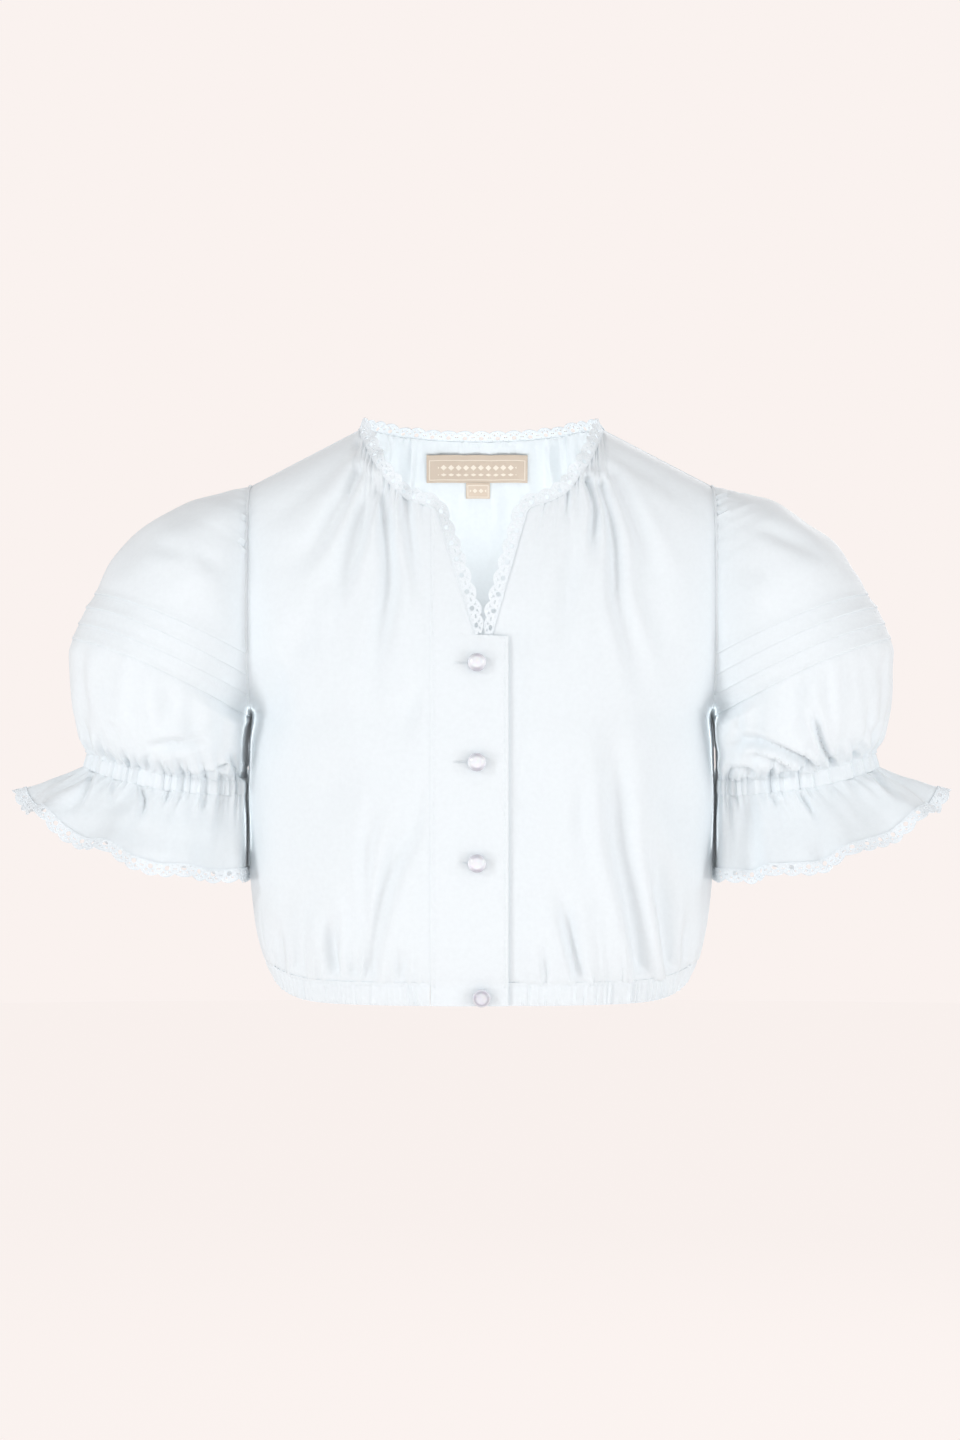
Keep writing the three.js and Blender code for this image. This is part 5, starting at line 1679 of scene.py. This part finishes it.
class BLOUSE_OT_sewing(bpy.types.Operator):
    """Sew the stitch lines of the band, the buttonholes, the tucks and the casings"""

    bl_idname = "blouse.sewing"
    bl_label = "Stitching"

    def execute(self, context):
        length = context.scene.blouse_sizes.stitch_length / MM
        pitch = length * 1.35

        def run(line, inner, outward, reach, radius, lift):
            return stitch_run(Edge(line, inner, outward, reach=reach), pitch, length, radius, lift)

        to_front = straight_out(TO_FRONT)
        band = band_points()[6:]
        runs = []
        for column, inner in ((4, 8), (-5, -9)):
            runs.append(run(band[:, column], band[:, inner], to_front, 2, 0.17, 0.02))
        sewing("band_stitching", runs, spun_thread("sewing thread"))
        holes = []
        for x, z in BUTTON_PLACES[:3]:
            line = body_points(np.linspace(x - 15.5, x + 1, 34), z, -1)
            above = body_points(np.linspace(x - 15.5, x + 1, 34), z + 3, -1)
            edge = Edge(line, 2 * line - above, to_front, reach=0)
            for side in (-0.62, 0.62):
                bars = bead((0.25, side * 0.8, 0), (0.17, 0.42, 0.14))
                count = round(edge.length / BAR_PITCH)
                repeated(bars, count, BAR_PITCH)
                bend_along(bars, edge, count * BAR_PITCH, lift=BAND_PROUD + 0.02)
                holes.append(bars)
        sewing("buttonholes", holes, spun_thread("sewing thread"))
        runs = []
        for side, points, _, direction in hem_lengths():
            if side == "left":
                points = points[:, COLUMNS_UNDER_BAND:]
            for row, inner in ((14, 11), (1, 4)):
                runs.append(run(points[row], points[inner], straight_out(direction), 0, 0.17, 0.04))
        sewing("hem_stitching", runs, spun_thread("sewing thread"))
        places, _ = tuck_rows()
        for hand, side in SIDES:
            sleeve = sleeve_points(hand)[:, 2:-2]
            rows = []
            for index in range(TUCKS):
                row = int(np.argmax(places > FIRST_TUCK_ROW + index + 0.08))
                rows.append((row, row + 2))
            outward = away_from(hand, SLEEVE_MIDDLE)
            runs = []
            for row, inner in [*rows, (-12, -9), (-2, -5)]:
                runs.append(run(sleeve[row], sleeve[inner], outward, 0, 0.16, 0.05))
            sewing(f"sleeve_stitching_{side}", runs, spun_thread("sewing thread"))
        return {"FINISHED"}


def armhole_edge(hand):
    """The whole armhole, from the armpit up the front, over the shoulder and down the back."""
    up = 0.5 - 0.5 * np.cos(np.linspace(0.03, math.pi - 0.03, 140))
    heights = ARMPIT_Z + (-SHOULDER_DROP - ARMPIT_Z) * up
    front = body_points(ARMHOLE_X, heights, -1)
    back = body_points(ARMHOLE_X, heights[::-1], 1)
    line = np.vstack([front, back]) + (0.2, 0, 0)
    inner = line + (-3, 0, 0)
    line[:, 0] *= hand
    inner[:, 0] *= hand
    middle = np.array([0, 0, -115.0])

    def outward(points):
        return unit((points - middle) * (0, 1, 1))

    return Edge(line, inner, outward, reach=2)


def side_edges(hand):
    """The shoulder seam and the side seam, each as an edge."""
    share = np.linspace(0.02, 0.99, 60)
    shoulder = np.stack([lerp(NECK_HALF, ARMHOLE_X, share), np.zeros(60), -SHOULDER_DROP * share], axis=-1)
    heights = np.linspace(ARMPIT_Z - 1, HEM_SIDE_Z + CASING, 130)
    side = np.stack([half_width(heights), np.zeros(130), heights], axis=-1)
    found = []
    for line, outward in ((shoulder, (0, 0, 1)), (side, (hand, 0, 0))):
        inner = (line + (0, -3, 0)) * (hand, 1, 1)
        found.append(Edge(line * (hand, 1, 1), inner, straight_out(outward), reach=1))
    return found


class BLOUSE_OT_seams(bpy.types.Operator):
    """Roll the seams of the armholes, the shoulders and the sides"""

    bl_idname = "blouse.seams"
    bl_label = "Seams"

    def execute(self, context):
        for hand, side in SIDES:
            rolls = [seam_roll(armhole_edge(hand), 1.15, 0.75, lift=0.25, shift=0.5, seed=5 + hand)]
            for edge in side_edges(hand):
                rolls.append(seam_roll(edge, 0.7, 0.45, lift=0.05, seed=9 + hand))
            sewing(f"seams_{side}", rolls, cotton())
        return {"FINISHED"}


def area_light(name, place, power, hidden_size=None):
    """An area light: one with a hidden size is a rectangle that the camera doesn't see."""
    deselect_all()
    bpy.ops.object.light_add(type="AREA", location=place)
    lamp = bpy.context.object
    lamp.name = name
    lamp.data.energy = power
    if hidden_size is not None:
        lamp.data.shape = "RECTANGLE"
        lamp.data.size, lamp.data.size_y = hidden_size
        lamp.visible_camera = False
    return lamp


class BLOUSE_OT_stage(bpy.types.Operator):
    """Set the floor, the light and the camera"""

    bl_idname = "blouse.stage"
    bl_label = "Stage"

    def execute(self, context):
        colours = context.scene.blouse_colours
        backdrop = (*colours.backdrop, 1)
        deselect_all()
        bpy.ops.mesh.primitive_circle_add(vertices=96, radius=9, fill_type="NGON", location=(0, 0, -1.1))
        floor = context.object
        floor.name = "floor"
        material = bpy.data.materials.new("pale floor")
        material.use_nodes = True
        shader = material.node_tree.nodes["Principled BSDF"]
        shader.inputs["Base Color"].default_value = (0.03, 0.029, 0.028, 1)
        shader.inputs["Roughness"].default_value = 1
        shader.inputs["Specular IOR Level"].default_value = 0
        shader.inputs["Emission Color"].default_value = backdrop
        shader.inputs["Emission Strength"].default_value = 0.966
        floor.data.materials.append(material)
        world = bpy.data.worlds.new("soft studio")
        context.scene.world = world
        world.use_nodes = True
        ground = world.node_tree.nodes["Background"]
        ground.inputs["Color"].default_value = backdrop
        path = world.node_tree.nodes.new("ShaderNodeLightPath")
        strength = world.node_tree.nodes.new("ShaderNodeMapRange")
        strength.inputs["To Min"].default_value = 0.6
        strength.inputs["To Max"].default_value = 1
        world.node_tree.links.new(path.outputs["Is Camera Ray"], strength.inputs["Value"])
        world.node_tree.links.new(strength.outputs["Result"], ground.inputs["Strength"])
        lights = [
            ("key light", (-2.5, -1.9, 0.9), 0.5, 20, (0.95, 0.98, 1)),
            ("front light", (0.2, -3.3, 0.4), 2.0, 18, (0.96, 0.98, 1)),
            ("side light", (2.6, -1.5, 0.6), 0.8, 12.5, (0.95, 0.98, 1)),
            ("low left light", (-1.8, -1.3, -0.75), 0.6, 9.5, (0.97, 0.98, 1)),
            ("low right light", (1.8, -1.3, -0.75), 0.6, 9.5, (0.97, 0.98, 1)),
            ("top light", (0.0, -0.9, 2.1), 1.2, 3, (0.97, 0.98, 1)),
            ("back light", (0.8, 3.0, 0.9), 1.2, 66, (0.96, 0.98, 1)),
        ]
        for name, place, size, power, colour in lights:
            lamp = area_light(name, place, power)
            lamp.data.size = size
            lamp.data.color = colour
            away = Vector(place) - Vector(LIT_POINT)
            lamp.rotation_euler = away.to_track_quat("Z", "Y").to_euler()
            lamp.visible_glossy = name in ("key light", "side light", "back light")
        inner = area_light("light inside", (0, -0.012, -0.09), 0.115, (0.22, 0.07))
        inner.data.color = (1, 0.975, 0.96)
        inner.rotation_euler = (math.radians(125), 0, 0)
        for hand, side in SIDES:
            place = (hand * 0.1562, -0.02, -0.236)
            groove = area_light(f"underarm light {side}", place, 0.004, (0.004, 0.096))
            groove.rotation_euler = (-math.pi / 2, 0, 0)
        deselect_all()
        bpy.ops.object.camera_add(location=(-0.001, -2.4, -0.1972), rotation=(math.pi / 2, 0, 0))
        camera = context.object
        camera.name = "photo camera"
        camera.data.lens = 88.24
        camera.data.sensor_width = 36
        context.scene.camera = camera
        context.scene.view_settings.view_transform = "Standard"
        context.scene.view_settings.look = "None"
        return {"FINISHED"}


class BLOUSE_PT_panel(bpy.types.Panel):
    """The blouse's sizes, colours and pieces"""

    bl_idname = "BLOUSE_PT_panel"
    bl_label = "Blouse"
    bl_space_type = "VIEW_3D"
    bl_region_type = "UI"
    bl_category = "Blouse"

    def draw(self, context):
        for group in (context.scene.blouse_sizes, context.scene.blouse_colours):
            for name in group.__annotations__:
                self.layout.prop(group, name)
        for operator in OPERATORS:
            self.layout.operator(operator.bl_idname)


OPERATORS = [
    BLOUSE_OT_fronts,
    BLOUSE_OT_back,
    BLOUSE_OT_band,
    BLOUSE_OT_hem,
    BLOUSE_OT_sleeves,
    BLOUSE_OT_flounces,
    BLOUSE_OT_lace,
    BLOUSE_OT_buttons,
    BLOUSE_OT_labels,
    BLOUSE_OT_sewing,
    BLOUSE_OT_seams,
    BLOUSE_OT_stage,
]
CLASSES = [BlouseSizes, BlouseColours, *OPERATORS, BLOUSE_PT_panel]


def register():
    for each in CLASSES:
        bpy.utils.register_class(each)
    bpy.types.Scene.blouse_sizes = bpy.props.PointerProperty(type=BlouseSizes)
    bpy.types.Scene.blouse_colours = bpy.props.PointerProperty(type=BlouseColours)


def unregister():
    del bpy.types.Scene.blouse_sizes
    del bpy.types.Scene.blouse_colours
    for each in reversed(CLASSES):
        bpy.utils.unregister_class(each)


def main():
    register()
    bpy.ops.blouse.fronts()
    bpy.ops.blouse.back()
    bpy.ops.blouse.band()
    bpy.ops.blouse.hem()
    bpy.ops.blouse.sleeves()
    bpy.ops.blouse.flounces()
    bpy.ops.blouse.lace()
    bpy.ops.blouse.buttons()
    bpy.ops.blouse.labels()
    bpy.ops.blouse.sewing()
    bpy.ops.blouse.seams()
    bpy.ops.blouse.stage()


if __name__ == "__main__":
    main()
